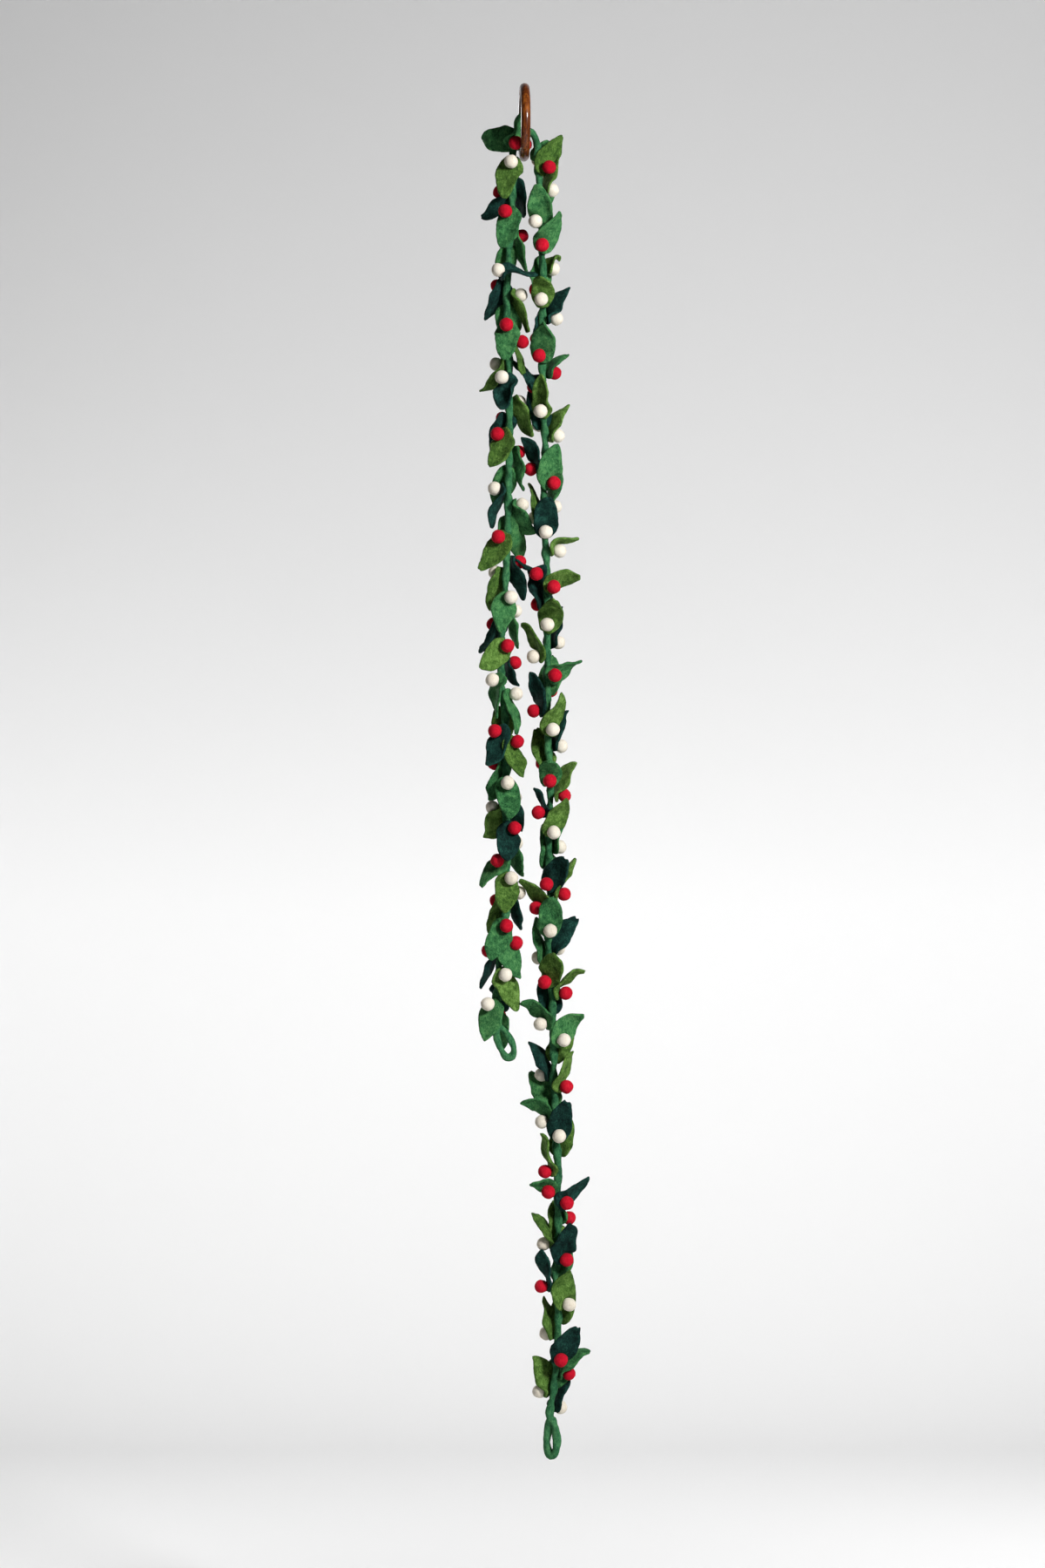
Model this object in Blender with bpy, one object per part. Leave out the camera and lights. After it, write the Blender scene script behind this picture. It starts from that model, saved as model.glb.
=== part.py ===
"""Felt ball garland doubled over a wooden ring.

A felted stem cord is hung over a turned ring, so that a short and a long
strand hang side by side.  Felt leaves are sewn along it in threes, each one
held by a round felt ball over its base, and every leaf points along the cord
towards the end of the short strand.  Each end closes in a hanging loop.

Frame: metres, +Z up, origin at the top of the ring, +X to the viewer's right,
+Y away from the viewer.
"""
import math
from typing import NamedTuple

import bmesh
import bpy
from mathutils import Matrix, Vector
from mathutils.geometry import interpolate_bezier

MM = 0.001

# Ring of turned wood
RING_OUTER = 84.5 * MM
RING_THICK = 10.5 * MM
RING_YAW = math.radians(2.5)
RING_STEPS = 26
RING_SIDES = 8

# Felted stem cord and its two end loops
STEM_THICK = 8.5 * MM
STEM_SIDES = 8
CURVE_STEPS = 24
STRAND_STEP = 38 * MM
ARCH_STEP = 5.5 * MM
ARCH_DEPTH = 100 * MM
LEFT_LOOP_THICK = 8.8 * MM
RIGHT_LOOP_THICK = 7.2 * MM
LOOP_STEPS = 20
LOOP_SIDES = 8

# Balls and leaves
BALL_ACROSS = 15 * MM
BALL_SIDES = 6
BALL_LEVELS = (-48, 0, 45)
FIRST_CORNER = 210
BALL_SINK = 0.475
FELT = 2.4 * MM
LEAF_BASE = 7 * MM
LEAF_REACH = 45 * MM
ROOT_HALF = 3.2 * MM
LEAF_LIFT = math.radians(8)
LIFT_WITHIN = 1 / 6
CUP_WITHIN = 0.25
ROLL_WITHIN = 1 / 3
BASE_WIDTH = 13 * MM
SHOULDER_WIDTH = 20 * MM
BASE_NARROWING = 0.75
SHARP_BEND = 60
BEND_STEPS = 12
FELT_CREASE = 64
WOOD_CREASE = 50

# Backing strip that the roots of three sprigs share
STRIP_INNER = STEM_THICK / 2 + 0.65 * MM
STRIP_OUTER = STRIP_INNER + 0.6 * MM
STRIP_HALF = 1.6 * MM
STRIP_ROOT = 1.5 * MM
ROOT_CLEARANCE = 0.2 * MM
STRIP_TURN = 40
SPRIGS_A_STRIP = 3
ROOT_HEIGHT = STRIP_OUTER + ROOT_CLEARANCE + FELT / 2
BALL_HEIGHT = FELT / 2 + BALL_SINK * BALL_ACROSS

# Felt and wood colours, linear, with roughness
FINISHES = {
    "kelly": ((0.055, 0.190, 0.065, 1), 0.95),
    "olive": ((0.075, 0.150, 0.028, 1), 0.95),
    "teal": ((0.008, 0.045, 0.032, 1), 0.95),
    "red": ((0.520, 0.008, 0.030, 1), 0.92),
    "white": ((0.840, 0.790, 0.690, 1), 0.92),
    "stem": ((0.050, 0.170, 0.062, 1), 0.95),
    "wood": ((0.105, 0.029, 0.007, 1), 0.22),
}


class Bend(NamedTuple):
    """A point that the stem's centre line passes, in millimetres."""

    across: float
    away: float
    down: float


class Sprig(NamedTuple):
    """One leaf with the ball over its base.

    down: how far below the ring's top the ball sits, in millimetres
    turn: the side of the stem it is sewn to, 0 facing the viewer, 90 right
    lean: swing of the leaf from the stem's direction, in degrees
    curl: outward bend from root to tip; flick: extra bend of the outer half
    twist: turn of the blade about its length, from root to tip; roll: such a turn
    that is whole by a third of the length; cup: fold of its two halves
    """

    down: float
    turn: float
    leaf: str
    ball: str
    lean: float = 0
    curl: float = 40
    flick: float = 0
    twist: float = 0
    roll: float = 0
    cup: float = 12
    size: float = 1


class Outline(NamedTuple):
    """A cross-section of the leaf: its distance from the root and half its width, in millimetres."""

    reach: float
    half: float


FLAT_OUTLINE = [Outline(13, 14.2), Outline(28, 12.8)]
SHARP_OUTLINE = [Outline(12, 14), Outline(23, 14), Outline(34, 9.6)]

RIGHT_ROUTE = [
    Bend(27.6, 0, 1452), Bend(31.4, 1, 1428), Bend(34.8, 2, 1398), Bend(37, 2, 1346), Bend(33.5, 0, 1310),
    Bend(37, -2, 1252), Bend(36.1, -3, 1172), Bend(32.8, -1, 1110), Bend(31, 2, 1009), Bend(26, 3, 933),
    Bend(28.5, 1, 883), Bend(26.8, -1, 828), Bend(28.5, -2, 770), Bend(26.1, -3, 718), Bend(25, -1, 620),
    Bend(24.7, 1, 540), Bend(21, 2, 448), Bend(23, 3, 402), Bend(20, 2, 340), Bend(20, 0, 198),
    Bend(16.4, -1, 109), Bend(14, 0, 76), Bend(13.4, 0, 63.5), Bend(8.6, 0, 54),
]
LEFT_ROUTE = [
    Bend(1, 0, 50.8), Bend(-6.6, 0, 54), Bend(-11.4, 0, 63.5), Bend(-11.8, 0, 76), Bend(-12.4, 1, 118),
    Bend(-18, 2, 198), Bend(-19, 1, 251), Bend(-16.3, -1, 304), Bend(-16.6, -2, 378), Bend(-17.2, -1, 440),
    Bend(-20, 1, 535), Bend(-25.4, 3, 640), Bend(-20.9, 2, 695), Bend(-20.2, 0, 760), Bend(-19.4, -2, 850),
    Bend(-20.4, -2, 905), Bend(-26.6, 0, 955), Bend(-30, 1, 991), Bend(-29.2, 1, 1025),
]
LEFT_LOOP = [
    Bend(-26, 1, 1030.4), Bend(-31, 1, 1036), Bend(-31, 1, 1045), Bend(-27.4, 0, 1055), Bend(-20, 0, 1062.4),
    Bend(-12.8, 0, 1056.5), Bend(-13.2, 1, 1045), Bend(-18.4, 2, 1034.6),
]
RIGHT_LOOP = [
    Bend(28.8, 0, 1456.6), Bend(24.8, 0, 1461), Bend(24.2, 0, 1470), Bend(24.6, 0, 1485), Bend(30.8, 0, 1497),
    Bend(36.6, 0, 1486), Bend(37, 0, 1471), Bend(34, 0, 1461),
]

LEFT_SPRIGS = [
    Sprig(50, 110, "kelly", "red", lean=90, curl=0, cup=50, size=0.3),
    Sprig(60, -160, "kelly", "red", lean=72, curl=56),
    Sprig(67, 10, "kelly", "red", lean=177, curl=29, roll=8, cup=25),
    Sprig(87, -9, "olive", "white", lean=-16, curl=35),
    Sprig(108, 165, "teal", "red", lean=-10, twist=20, roll=35),
    Sprig(118, -110, "teal", "red", curl=78, twist=20, roll=8),
    Sprig(141, -27, "kelly", "red", lean=4, curl=14, roll=-17),
    Sprig(164, 120, "kelly", "red", curl=34, twist=30, roll=-7),
    Sprig(181, -168, "kelly", "white", size=0.85),
    Sprig(205, -42, "teal", "white", lean=78, curl=-75, twist=-15, roll=-78, size=0.9),
    Sprig(219, -135, "teal", "red", lean=5, curl=60, roll=-11, size=0.85),
    Sprig(230, 95, "olive", "white", lean=6, curl=60, flick=-70, roll=-15),
    Sprig(247, 176, "kelly", "red", lean=-4),
    Sprig(265, -3, "kelly", "red", lean=-3, curl=36),
    Sprig(283, 80, "olive", "red", curl=6, twist=25, size=0.85),
    Sprig(305, -110, "olive", "white", curl=66, roll=5),
    Sprig(322, -33, "teal", "white", lean=10, roll=2, cup=45),
    Sprig(346, 135, "olive", "white", lean=-15, twist=20),
    Sprig(364, -150, "teal", "red", lean=10),
    Sprig(383, -56, "olive", "red", lean=5, roll=-35),
    Sprig(401, 135, "kelly", "red", curl=20, twist=50),
    Sprig(423, -162, "kelly", "white", lean=10),
    Sprig(442, -88, "teal", "white", curl=20, twist=45, roll=1),
    Sprig(459, 96, "kelly", "white", curl=73, roll=-10, size=0.95),
    Sprig(478, 178, "kelly", "red", lean=-22),
    Sprig(495, -39, "olive", "red", lean=-24, curl=30, roll=-17),
    Sprig(521, 108, "teal", "red", curl=34, roll=-22),
    Sprig(533, -127, "olive", "white", curl=30, roll=4),
    Sprig(560, 27, "kelly", "white", lean=-20, curl=30, roll=17),
    Sprig(574, 124, "kelly", "white", curl=24, roll=14),
    Sprig(590, -135, "teal", "red", curl=66, roll=-7),
    Sprig(613, 26, "olive", "red", lean=-46, curl=14, roll=9),
    Sprig(631, 100, "teal", "red", roll=-29, size=0.7),
    Sprig(650, -40, "kelly", "white", lean=8, curl=12, twist=55, roll=3),
    Sprig(667, 76, "kelly", "white", curl=-4, twist=20, roll=-2),
    Sprig(685, -165, "olive", "red"),
    Sprig(706, -50, "teal", "red", roll=-11),
    Sprig(718, 58, "olive", "red", lean=-5, twist=40),
    Sprig(741, -125, "kelly", "red", curl=24, twist=30),
    Sprig(763, 8, "kelly", "white", lean=2),
    Sprig(779, 140, "teal", "white"),
    Sprig(789, -100, "olive", "white", roll=35, size=0.85),
    Sprig(812, 37, "teal", "red", lean=-22, roll=30),
    Sprig(828, 135, "kelly", "white", curl=30, roll=18),
    Sprig(847, -40, "kelly", "red", lean=-38, curl=44, roll=14, size=0.85),
    Sprig(866, 21, "olive", "white", lean=-14, roll=11),
    Sprig(882, 115, "teal", "white", curl=18),
    Sprig(892, -135, "olive", "red"),
    Sprig(917, 9, "kelly", "red", lean=-27),
    Sprig(935, 85, "kelly", "red", curl=42, roll=58, size=0.92),
    Sprig(948, -112, "teal", "red", curl=14, twist=20, roll=-8),
    Sprig(970, 31, "olive", "white", lean=22, curl=50),
    Sprig(984, 150, "teal", "white", size=0.85),
    Sprig(1003, -40, "kelly", "white", curl=30, roll=-15),
    Sprig(1018, 171, "kelly", "red", lean=3, curl=29, roll=-3, size=0.9),
]
RIGHT_SPRIGS = [
    Sprig(80, 178, "kelly", "white", lean=-40, curl=50, size=0.7),
    Sprig(94, 50, "olive", "red", lean=20, curl=22, roll=-4),
    Sprig(116, 118, "olive", "white", curl=46, roll=7),
    Sprig(135, -158, "kelly", "red", lean=-35),
    Sprig(152, -25, "kelly", "white", lean=15, roll=16),
    Sprig(178, 0, "kelly", "red", lean=28, curl=30, twist=85),
    Sprig(201, 130, "olive", "white", curl=110, size=0.75),
    Sprig(223, -150, "kelly", "red", lean=-18, curl=20),
    Sprig(237, -7, "olive", "white", lean=5, curl=86, size=0.9),
    Sprig(256, 102, "teal", "white", curl=56, roll=15),
    Sprig(277, -155, "teal", "red", lean=-8, curl=10, roll=49),
    Sprig(298, -14, "kelly", "red", lean=15, roll=3),
    Sprig(315, 118, "kelly", "red", curl=90, size=0.8),
    Sprig(329, -141, "teal", "red", lean=40, curl=50, roll=32, size=0.95),
    Sprig(358, -11, "olive", "white", lean=8, roll=-27, cup=40),
    Sprig(371, -158, "teal", "white"),
    Sprig(384, 108, "olive", "white", curl=60, roll=16),
    Sprig(421, -92, "teal", "red", lean=26, curl=52, twist=30, roll=28, size=0.95),
    Sprig(436, 47, "kelly", "red", lean=-6, curl=25, roll=-26),
    Sprig(461, 126, "kelly", "white", curl=32),
    Sprig(472, -140, "olive", "white", curl=30, twist=30, roll=12),
    Sprig(490, 3, "teal", "white", lean=5),
    Sprig(510, 98, "olive", "white", curl=125, flick=-64, roll=-9, size=0.9),
    Sprig(535, -48, "teal", "red", lean=-13, curl=78, flick=-35, twist=32, roll=-18, size=0.85),
    Sprig(550, 29, "olive", "red", lean=38, curl=45, roll=34, size=0.85),
    Sprig(567, -135, "teal", "red"),
    Sprig(591, 0, "olive", "white", lean=20, curl=92),
    Sprig(609, 125, "teal", "white", lean=12, curl=24),
    Sprig(625, -85, "olive", "white", curl=46, twist=15, roll=7),
    Sprig(646, 33, "kelly", "red", lean=58, curl=30, twist=85),
    Sprig(661, 165, "kelly", "red"),
    Sprig(684, -82, "teal", "red", curl=15, twist=55, roll=2),
    Sprig(705, 20, "olive", "white", lean=10, twist=60, roll=2),
    Sprig(723, 113, "teal", "white", curl=26, twist=30, roll=-14),
    Sprig(741, -150, "olive", "red"),
    Sprig(760, -2, "kelly", "red", curl=88, size=0.9),
    Sprig(776, 87, "olive", "red", twist=10, roll=33),
    Sprig(795, -56, "teal", "red", curl=24, twist=30, roll=-27, size=0.7),
    Sprig(816, 20, "olive", "white", lean=16, roll=8),
    Sprig(833, 128, "kelly", "white", curl=34, roll=-12),
    Sprig(851, -172, "kelly", "red", lean=6, curl=10, roll=64),
    Sprig(872, -16, "teal", "red", lean=42, curl=34),
    Sprig(884, 100, "olive", "red", curl=48, twist=40, roll=-11),
    Sprig(900, -80, "olive", "red", lean=6, curl=88, twist=3, roll=25, size=0.92),
    Sprig(923, 8, "kelly", "white", curl=36),
    Sprig(944, 132, "teal", "white", lean=-28, curl=50, roll=16),
    Sprig(953, -130, "kelly", "white", curl=8, roll=22),
    Sprig(979, -27, "olive", "red", lean=30),
    Sprig(993, 90, "olive", "red", curl=92, twist=-50, roll=11),
    Sprig(1009, -165, "teal", "red", curl=30),
    Sprig(1025, -67, "kelly", "white", curl=98, twist=15, roll=8),
    Sprig(1043, 49, "kelly", "white", lean=28, curl=56, roll=-16),
    Sprig(1061, 165, "olive", "red", lean=-20),
    Sprig(1081, -117, "teal", "white", curl=52, roll=3),
    Sprig(1094, 64, "olive", "red", curl=26, twist=10, roll=-7),
    Sprig(1112, -160, "kelly", "red", lean=25),
    Sprig(1131, -76, "kelly", "white", curl=100, twist=80),
    Sprig(1147, 12, "teal", "white", lean=12),
    Sprig(1163, 160, "olive", "white", lean=-12, curl=10),
    Sprig(1185, -67, "olive", "red", curl=12, twist=50, roll=-29),
    Sprig(1207, -45, "kelly", "red", lean=-48, curl=105, roll=-8, size=0.72),
    Sprig(1219, 38, "teal", "red", lean=40, curl=32, roll=31),
    Sprig(1238, 128, "kelly", "red", lean=47, curl=24, twist=38, roll=-36, size=0.78),
    Sprig(1252, -170, "olive", "white", lean=1, curl=51, twist=20, roll=44, size=0.82),
    Sprig(1266, -92, "olive", "white", curl=66, size=0.95),
    Sprig(1280, 47, "teal", "red", roll=-37),
    Sprig(1301, 138, "kelly", "red", curl=42),
    Sprig(1311, -80, "teal", "red", curl=16, twist=90, size=0.85),
    Sprig(1332, 62, "olive", "white", curl=28, twist=10, roll=-41),
    Sprig(1348, 165, "olive", "red", lean=-15),
    Sprig(1365, -122, "olive", "white", curl=24, roll=6),
    Sprig(1390, 18, "teal", "red", lean=22, curl=22, roll=-2),
    Sprig(1406, 102, "kelly", "red", curl=86, twist=15, roll=13),
    Sprig(1417, -178, "kelly", "white", lean=-6, curl=50, roll=15, size=0.95),
    Sprig(1429, -99, "olive", "white", lean=-5, curl=50, roll=9, size=0.95),
    Sprig(1443, 132, "teal", "white", curl=30, twist=20, roll=-28, size=0.85),
]


def material(name):
    """One plain finish, made on first use."""
    held = bpy.data.materials.get(name)
    if held:
        return held
    made = bpy.data.materials.new(name)
    made.use_nodes = True
    colour, roughness = FINISHES[name]
    shader = made.node_tree.nodes["Principled BSDF"]
    shader.inputs["Base Color"].default_value = colour
    shader.inputs["Roughness"].default_value = roughness
    shader.inputs["Metallic"].default_value = 0
    made.diffuse_color = colour
    return made


def place(name, data, finishes):
    """Put mesh or curve data in the scene with its finishes."""
    for finish in finishes:
        data.materials.append(material(finish))
    made = bpy.data.objects.new(name, data)
    bpy.context.scene.collection.objects.link(made)
    return made


def mesh_from(name, bm, finishes, smooth_angle=None):
    """Close a bmesh into an object whose faces point out."""
    bmesh.ops.recalc_face_normals(bm, faces=bm.faces)
    data = bpy.data.meshes.new(name)
    bm.to_mesh(data)
    bm.free()
    made = place(name, data, finishes)
    if smooth_angle:
        data.shade_smooth()
        data.set_sharp_from_angle(angle=math.radians(smooth_angle))
    return made


def spot(bend):
    """A route's point in metres."""
    return Vector((bend.across, bend.away, -bend.down)) * MM


def smooth_line(bends, closed=False):
    """A fine smooth line through the route's points."""
    points = [spot(bend) for bend in bends]
    count = len(points)
    line = []
    for index in range(count if closed else count - 1):
        start = points[index]
        end = points[(index + 1) % count]
        before = points[index - 1] if closed or index else start
        after = points[(index + 2) % count] if closed or index + 2 < count else end
        reach = (end - start).length / 3
        leave = start + (end - before).normalized() * reach
        arrive = end - (after - start).normalized() * reach
        line += interpolate_bezier(start, leave, arrive, end, CURVE_STEPS + 1)[:-1]
    if not closed:
        line.append(points[-1])
    return line


def spaced(line, steps):
    """Points along a line, a step apart that depends on the depth."""
    kept = [line[0]]
    walked = 0
    for before, after in zip(line, line[1:]):
        walked += (after - before).length
        if walked >= steps(after):
            kept.append(after)
            walked = 0
    if (line[-1] - kept[-1]).length < steps(line[-1]) / 2:
        kept.pop()
    kept.append(line[-1])
    return kept


def stem_step(point):
    """Close points over the ring, wide ones down the strands."""
    return ARCH_STEP if -point.z < ARCH_DEPTH else STRAND_STEP


FINE_LINE = smooth_line(RIGHT_ROUTE + LEFT_ROUTE)
APEX = CURVE_STEPS * len(RIGHT_ROUTE)
STEM_LINE = {
    "right": spaced(FINE_LINE[:APEX + 1], stem_step),
    "left": spaced(FINE_LINE[APEX:], stem_step),
}


def stem_at(strand, down):
    """The stem's centre and its direction at a depth of one strand."""
    line = STEM_LINE[strand]
    height = -down * MM
    if height >= FINE_LINE[APEX].z:
        return FINE_LINE[APEX].copy(), (STEM_LINE["left"][1] - STEM_LINE["right"][-2]).normalized()
    for before, after in zip(line, line[1:]):
        low, high = sorted((before.z, after.z))
        if low <= height <= high and high > low:
            share = (height - before.z) / (after.z - before.z)
            return before.lerp(after, share), (after - before).normalized()
    return line[-1].copy(), (line[-1] - line[-2]).normalized()


def side_of(strand, along, turn):
    """The outward direction at a turn about the stem, and the way that turn grows."""
    front = Vector((0, -1, 0))
    front = (front - along * front.dot(along)).normalized()
    right = along.cross(front) * (1 if strand == "right" else -1)
    angle = math.radians(turn)
    outward = front * math.cos(angle) + right * math.sin(angle)
    growing = right * math.cos(angle) - front * math.sin(angle)
    return outward, growing


def loop_of(bm, points):
    """Vertices of one cross-section."""
    return [bm.verts.new(point) for point in points]


def skin(bm, first, second, finish, skip=()):
    """Faces between two cross-sections of as many points."""
    count = len(first)
    for index in range(count):
        if index in skip:
            continue
        after = (index + 1) % count
        face = bm.faces.new((first[index], first[after], second[after], second[index]))
        face.material_index = finish


def fan(bm, loop, tip, finish):
    """Faces from a cross-section to one point."""
    end = bm.verts.new(tip)
    for index, vertex in enumerate(loop):
        face = bm.faces.new((vertex, loop[(index + 1) % len(loop)], end))
        face.material_index = finish


class Blade:
    """The bent middle surface of one leaf, in the frame of its root."""

    def __init__(self, strand, sprig):
        self.sprig = sprig
        centre, stem_way = stem_at(strand, sprig.down)
        self.outward, growing = side_of(strand, stem_way, sprig.turn)
        lean = math.radians(sprig.lean)
        self.along = stem_way * math.cos(lean) + growing * math.sin(lean)
        self.width_way = self.along.cross(self.outward)
        self.root = centre + self.outward * ROOT_HEIGHT

    def bend(self, share):
        """The blade's angle away from the stem at a share of its reach."""
        extra = self.sprig.flick * max(0, 2 * share - 1)
        return LEAF_LIFT * min(1, share / LIFT_WITHIN) + math.radians(self.sprig.curl * share + extra)

    def section(self, reach):
        """Middle, blade normal and width direction at a distance from the root."""
        if reach <= 0:
            return self.root + self.along * reach, self.outward, self.width_way
        whole = LEAF_REACH * self.sprig.size
        middle = self.root.copy()
        for step in range(BEND_STEPS):
            angle = self.bend((step + 0.5) / BEND_STEPS * reach / whole)
            way = self.along * math.cos(angle) + self.outward * math.sin(angle)
            middle += way * (reach / BEND_STEPS)
        angle = self.bend(reach / whole)
        way = self.along * math.cos(angle) + self.outward * math.sin(angle)
        normal = self.outward * math.cos(angle) - self.along * math.sin(angle)
        turn = self.sprig.twist * reach / whole + self.sprig.roll * min(1, reach / whole / ROLL_WITHIN)
        turned = Matrix.Rotation(math.radians(turn), 3, way)
        return middle, turned @ normal, turned @ self.width_way

    def ring(self, reach, half):
        """Six points round the blade: left, middle and right, above and below."""
        middle, normal, width_way = self.section(reach)
        cup = math.radians(self.sprig.cup) * min(1, max(0, reach) / (CUP_WITHIN * LEAF_REACH))
        edge = width_way * (half * math.cos(cup))
        rise = normal * (half * math.sin(cup))
        thick = normal * (FELT / 2)
        left = middle - edge + rise
        right = middle + edge + rise
        return [left + thick, middle + thick, right + thick, right - thick, middle - thick, left - thick]


def leaf_stations(sprig):
    """Distance from the root and half width of each cross-section past the ball."""
    sharp = abs(sprig.curl) + abs(sprig.flick) >= SHARP_BEND
    rows = SHARP_OUTLINE if sharp else FLAT_OUTLINE
    return [(row.reach * MM * sprig.size, row.half * MM * sprig.size) for row in rows]


def add_sprig(bm, strand, sprig, strip_face, slots):
    """Build one leaf and ball whose root grows out of the strip's face."""
    blade = Blade(strand, sprig)
    leaf = slots[sprig.leaf]
    ball = slots[sprig.ball]
    narrowed = sprig.size ** BASE_NARROWING
    behind = loop_of(bm, blade.ring(-ROOT_HALF, BASE_WIDTH / 2 * narrowed))
    ahead = loop_of(bm, blade.ring(ROOT_HALF, SHOULDER_WIDTH / 2 * narrowed))
    fan(bm, behind, blade.section(-LEAF_BASE)[0], leaf)
    skin(bm, behind, ahead, leaf, skip=(0, 1, 3, 4))
    last = ahead
    for reach, half in leaf_stations(sprig):
        ring = loop_of(bm, blade.ring(reach, half))
        skin(bm, last, ring, leaf)
        last = ring
    fan(bm, last, blade.section(LEAF_REACH * sprig.size)[0], leaf)
    add_ball(bm, blade, behind, ahead, leaf, ball)
    add_root(bm, behind, ahead, strip_face, leaf)


def add_ball(bm, blade, behind, ahead, foot, finish):
    """A round ball whose foot is let into the leaf's outer face."""
    centre = blade.root + blade.outward * BALL_HEIGHT
    radius = BALL_ACROSS / 2
    last = [behind[0], behind[1], behind[2], ahead[2], ahead[1], ahead[0]]
    for latitude in BALL_LEVELS:
        level = centre + blade.outward * (radius * math.sin(math.radians(latitude)))
        around = radius * math.cos(math.radians(latitude))
        ring = []
        for index in range(BALL_SIDES):
            angle = math.radians(FIRST_CORNER + 360 / BALL_SIDES * index)
            point = blade.width_way * math.cos(angle) + blade.along * math.sin(angle)
            ring.append(bm.verts.new(level + point * around))
        skin(bm, last, ring, foot if latitude < 0 else finish)
        last = ring
    fan(bm, last, centre + blade.outward * radius, finish)


def add_root(bm, behind, ahead, strip_face, finish):
    """Faces between the leaf's inner face and the strip's outer face."""
    under = [behind[5], behind[4], behind[3], ahead[3], ahead[4], ahead[5]]
    low_left, low_right, high_right, high_left = nearest_corners(under, strip_face)
    faces = [
        (under[0], under[1], low_left), (under[1], low_right, low_left), (under[1], under[2], low_right),
        (under[2], under[3], high_right, low_right), (under[3], under[4], high_right),
        (under[4], high_left, high_right), (under[4], under[5], high_left),
        (under[5], under[0], low_left, high_left),
    ]
    for corners in faces:
        bm.faces.new(corners).material_index = finish


def nearest_corners(under, strip_face):
    """Turn the strip's four corners so that each lies under its leaf corner."""
    targets = [under[0].co, under[2].co, under[3].co, under[5].co]
    best = None
    for order in (strip_face, strip_face[::-1]):
        for start in range(4):
            turned = order[start:] + order[:start]
            spread = sum((vertex.co - target).length for vertex, target in zip(turned, targets))
            if best is None or spread < best[0]:
                best = (spread, turned)
    return best[1]


def strip_stations(strand, sprigs):
    """Centre, outward and sideways directions along the strip, and each root's station."""
    stations = []
    roots = []
    for index, sprig in enumerate(sprigs):
        centre, along = stem_at(strand, sprig.down)
        outward, growing = side_of(strand, along, sprig.turn)
        way = -1 if strand == "right" else 1
        roots.append(len(stations))
        for shift in (-STRIP_ROOT, STRIP_ROOT):
            stations.append((centre + along * (shift * way), outward, growing))
        if index + 1 == len(sprigs):
            break
        following = sprigs[index + 1]
        swing = (following.turn - sprig.turn + 180) % 360 - 180
        pieces = max(1, math.ceil(abs(swing) / STRIP_TURN))
        start = sprig.down + STRIP_ROOT / MM
        end = following.down - STRIP_ROOT / MM
        for piece in range(1, pieces):
            share = piece / pieces
            down = start + (end - start) * share
            middle, way_there = stem_at(strand, down)
            outward, growing = side_of(strand, way_there, sprig.turn + swing * share)
            stations.append((middle, outward, growing))
    return stations, roots


def sprig_group(name, strand, sprigs):
    """One backing strip with the sprigs that are sewn to it."""
    finishes = ["stem", "kelly", "olive", "teal", "red", "white"]
    slots = {finish: index for index, finish in enumerate(finishes)}
    bm = bmesh.new()
    stations, roots = strip_stations(strand, sprigs)
    loops = []
    for centre, outward, growing in stations:
        side = growing * STRIP_HALF
        top = centre + outward * STRIP_OUTER
        loops.append(loop_of(bm, [top - side, top + side, centre + outward * STRIP_INNER]))
    bm.faces.new(loops[0]).material_index = slots["stem"]
    bm.faces.new(loops[-1]).material_index = slots["stem"]
    for index, (first, second) in enumerate(zip(loops, loops[1:])):
        skin(bm, first, second, slots["stem"], skip=(0,) if index in roots else ())
    for sprig, start in zip(sprigs, roots):
        first, second = loops[start], loops[start + 1]
        add_sprig(bm, strand, sprig, [first[0], first[1], second[1], second[0]], slots)
    return mesh_from(name, bm, finishes, smooth_angle=FELT_CREASE)


def tube(name, points, thick, sides, finish, closed):
    """A round cord along a line, as a bevelled curve."""
    data = bpy.data.curves.new(name, "CURVE")
    data.dimensions = "3D"
    data.bevel_depth = thick / 2
    data.bevel_resolution = sides // 2 - 2
    data.use_fill_caps = not closed
    data.twist_mode = "MINIMUM"
    spline = data.splines.new("POLY")
    spline.points.add(len(points) - 1)
    for point, target in zip(spline.points, points):
        point.co = (*target, 1)
    spline.use_cyclic_u = closed
    spline.use_smooth = True
    return place(name, data, [finish])


def stem():
    """The felted cord, from the end of the long strand to the end of the short one."""
    points = STEM_LINE["right"] + STEM_LINE["left"][1:]
    return tube("stem", points, STEM_THICK, STEM_SIDES, "stem", closed=False)


def end_loop(name, bends, thick):
    """The closed hanging loop at one end of the cord."""
    line = smooth_line(bends, closed=True)
    points = [line[round(index * len(line) / LOOP_STEPS)] for index in range(LOOP_STEPS)]
    return tube(name, points, thick, LOOP_SIDES, "stem", closed=True)


def ring():
    """The turned wooden ring, nearly edge on to the viewer."""
    bm = bmesh.new()
    middle = (RING_OUTER - RING_THICK) / 2
    aside = Matrix.Translation((0, middle, 0))
    profile = bmesh.ops.create_circle(bm, segments=RING_SIDES, radius=RING_THICK / 2, matrix=aside)
    edges = list({edge for vertex in profile["verts"] for edge in vertex.link_edges})
    bmesh.ops.spin(bm, geom=edges + profile["verts"], cent=(0, 0, 0), axis=(1, 0, 0),
                   angle=2 * math.pi, steps=RING_STEPS, use_merge=True)
    turned = Matrix.Rotation(RING_YAW, 4, "Z")
    lowered = Matrix.Translation((0, 0, -RING_OUTER / 2))
    bmesh.ops.transform(bm, matrix=lowered @ turned, verts=bm.verts)
    return mesh_from("ring", bm, ["wood"], smooth_angle=WOOD_CREASE)


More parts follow.
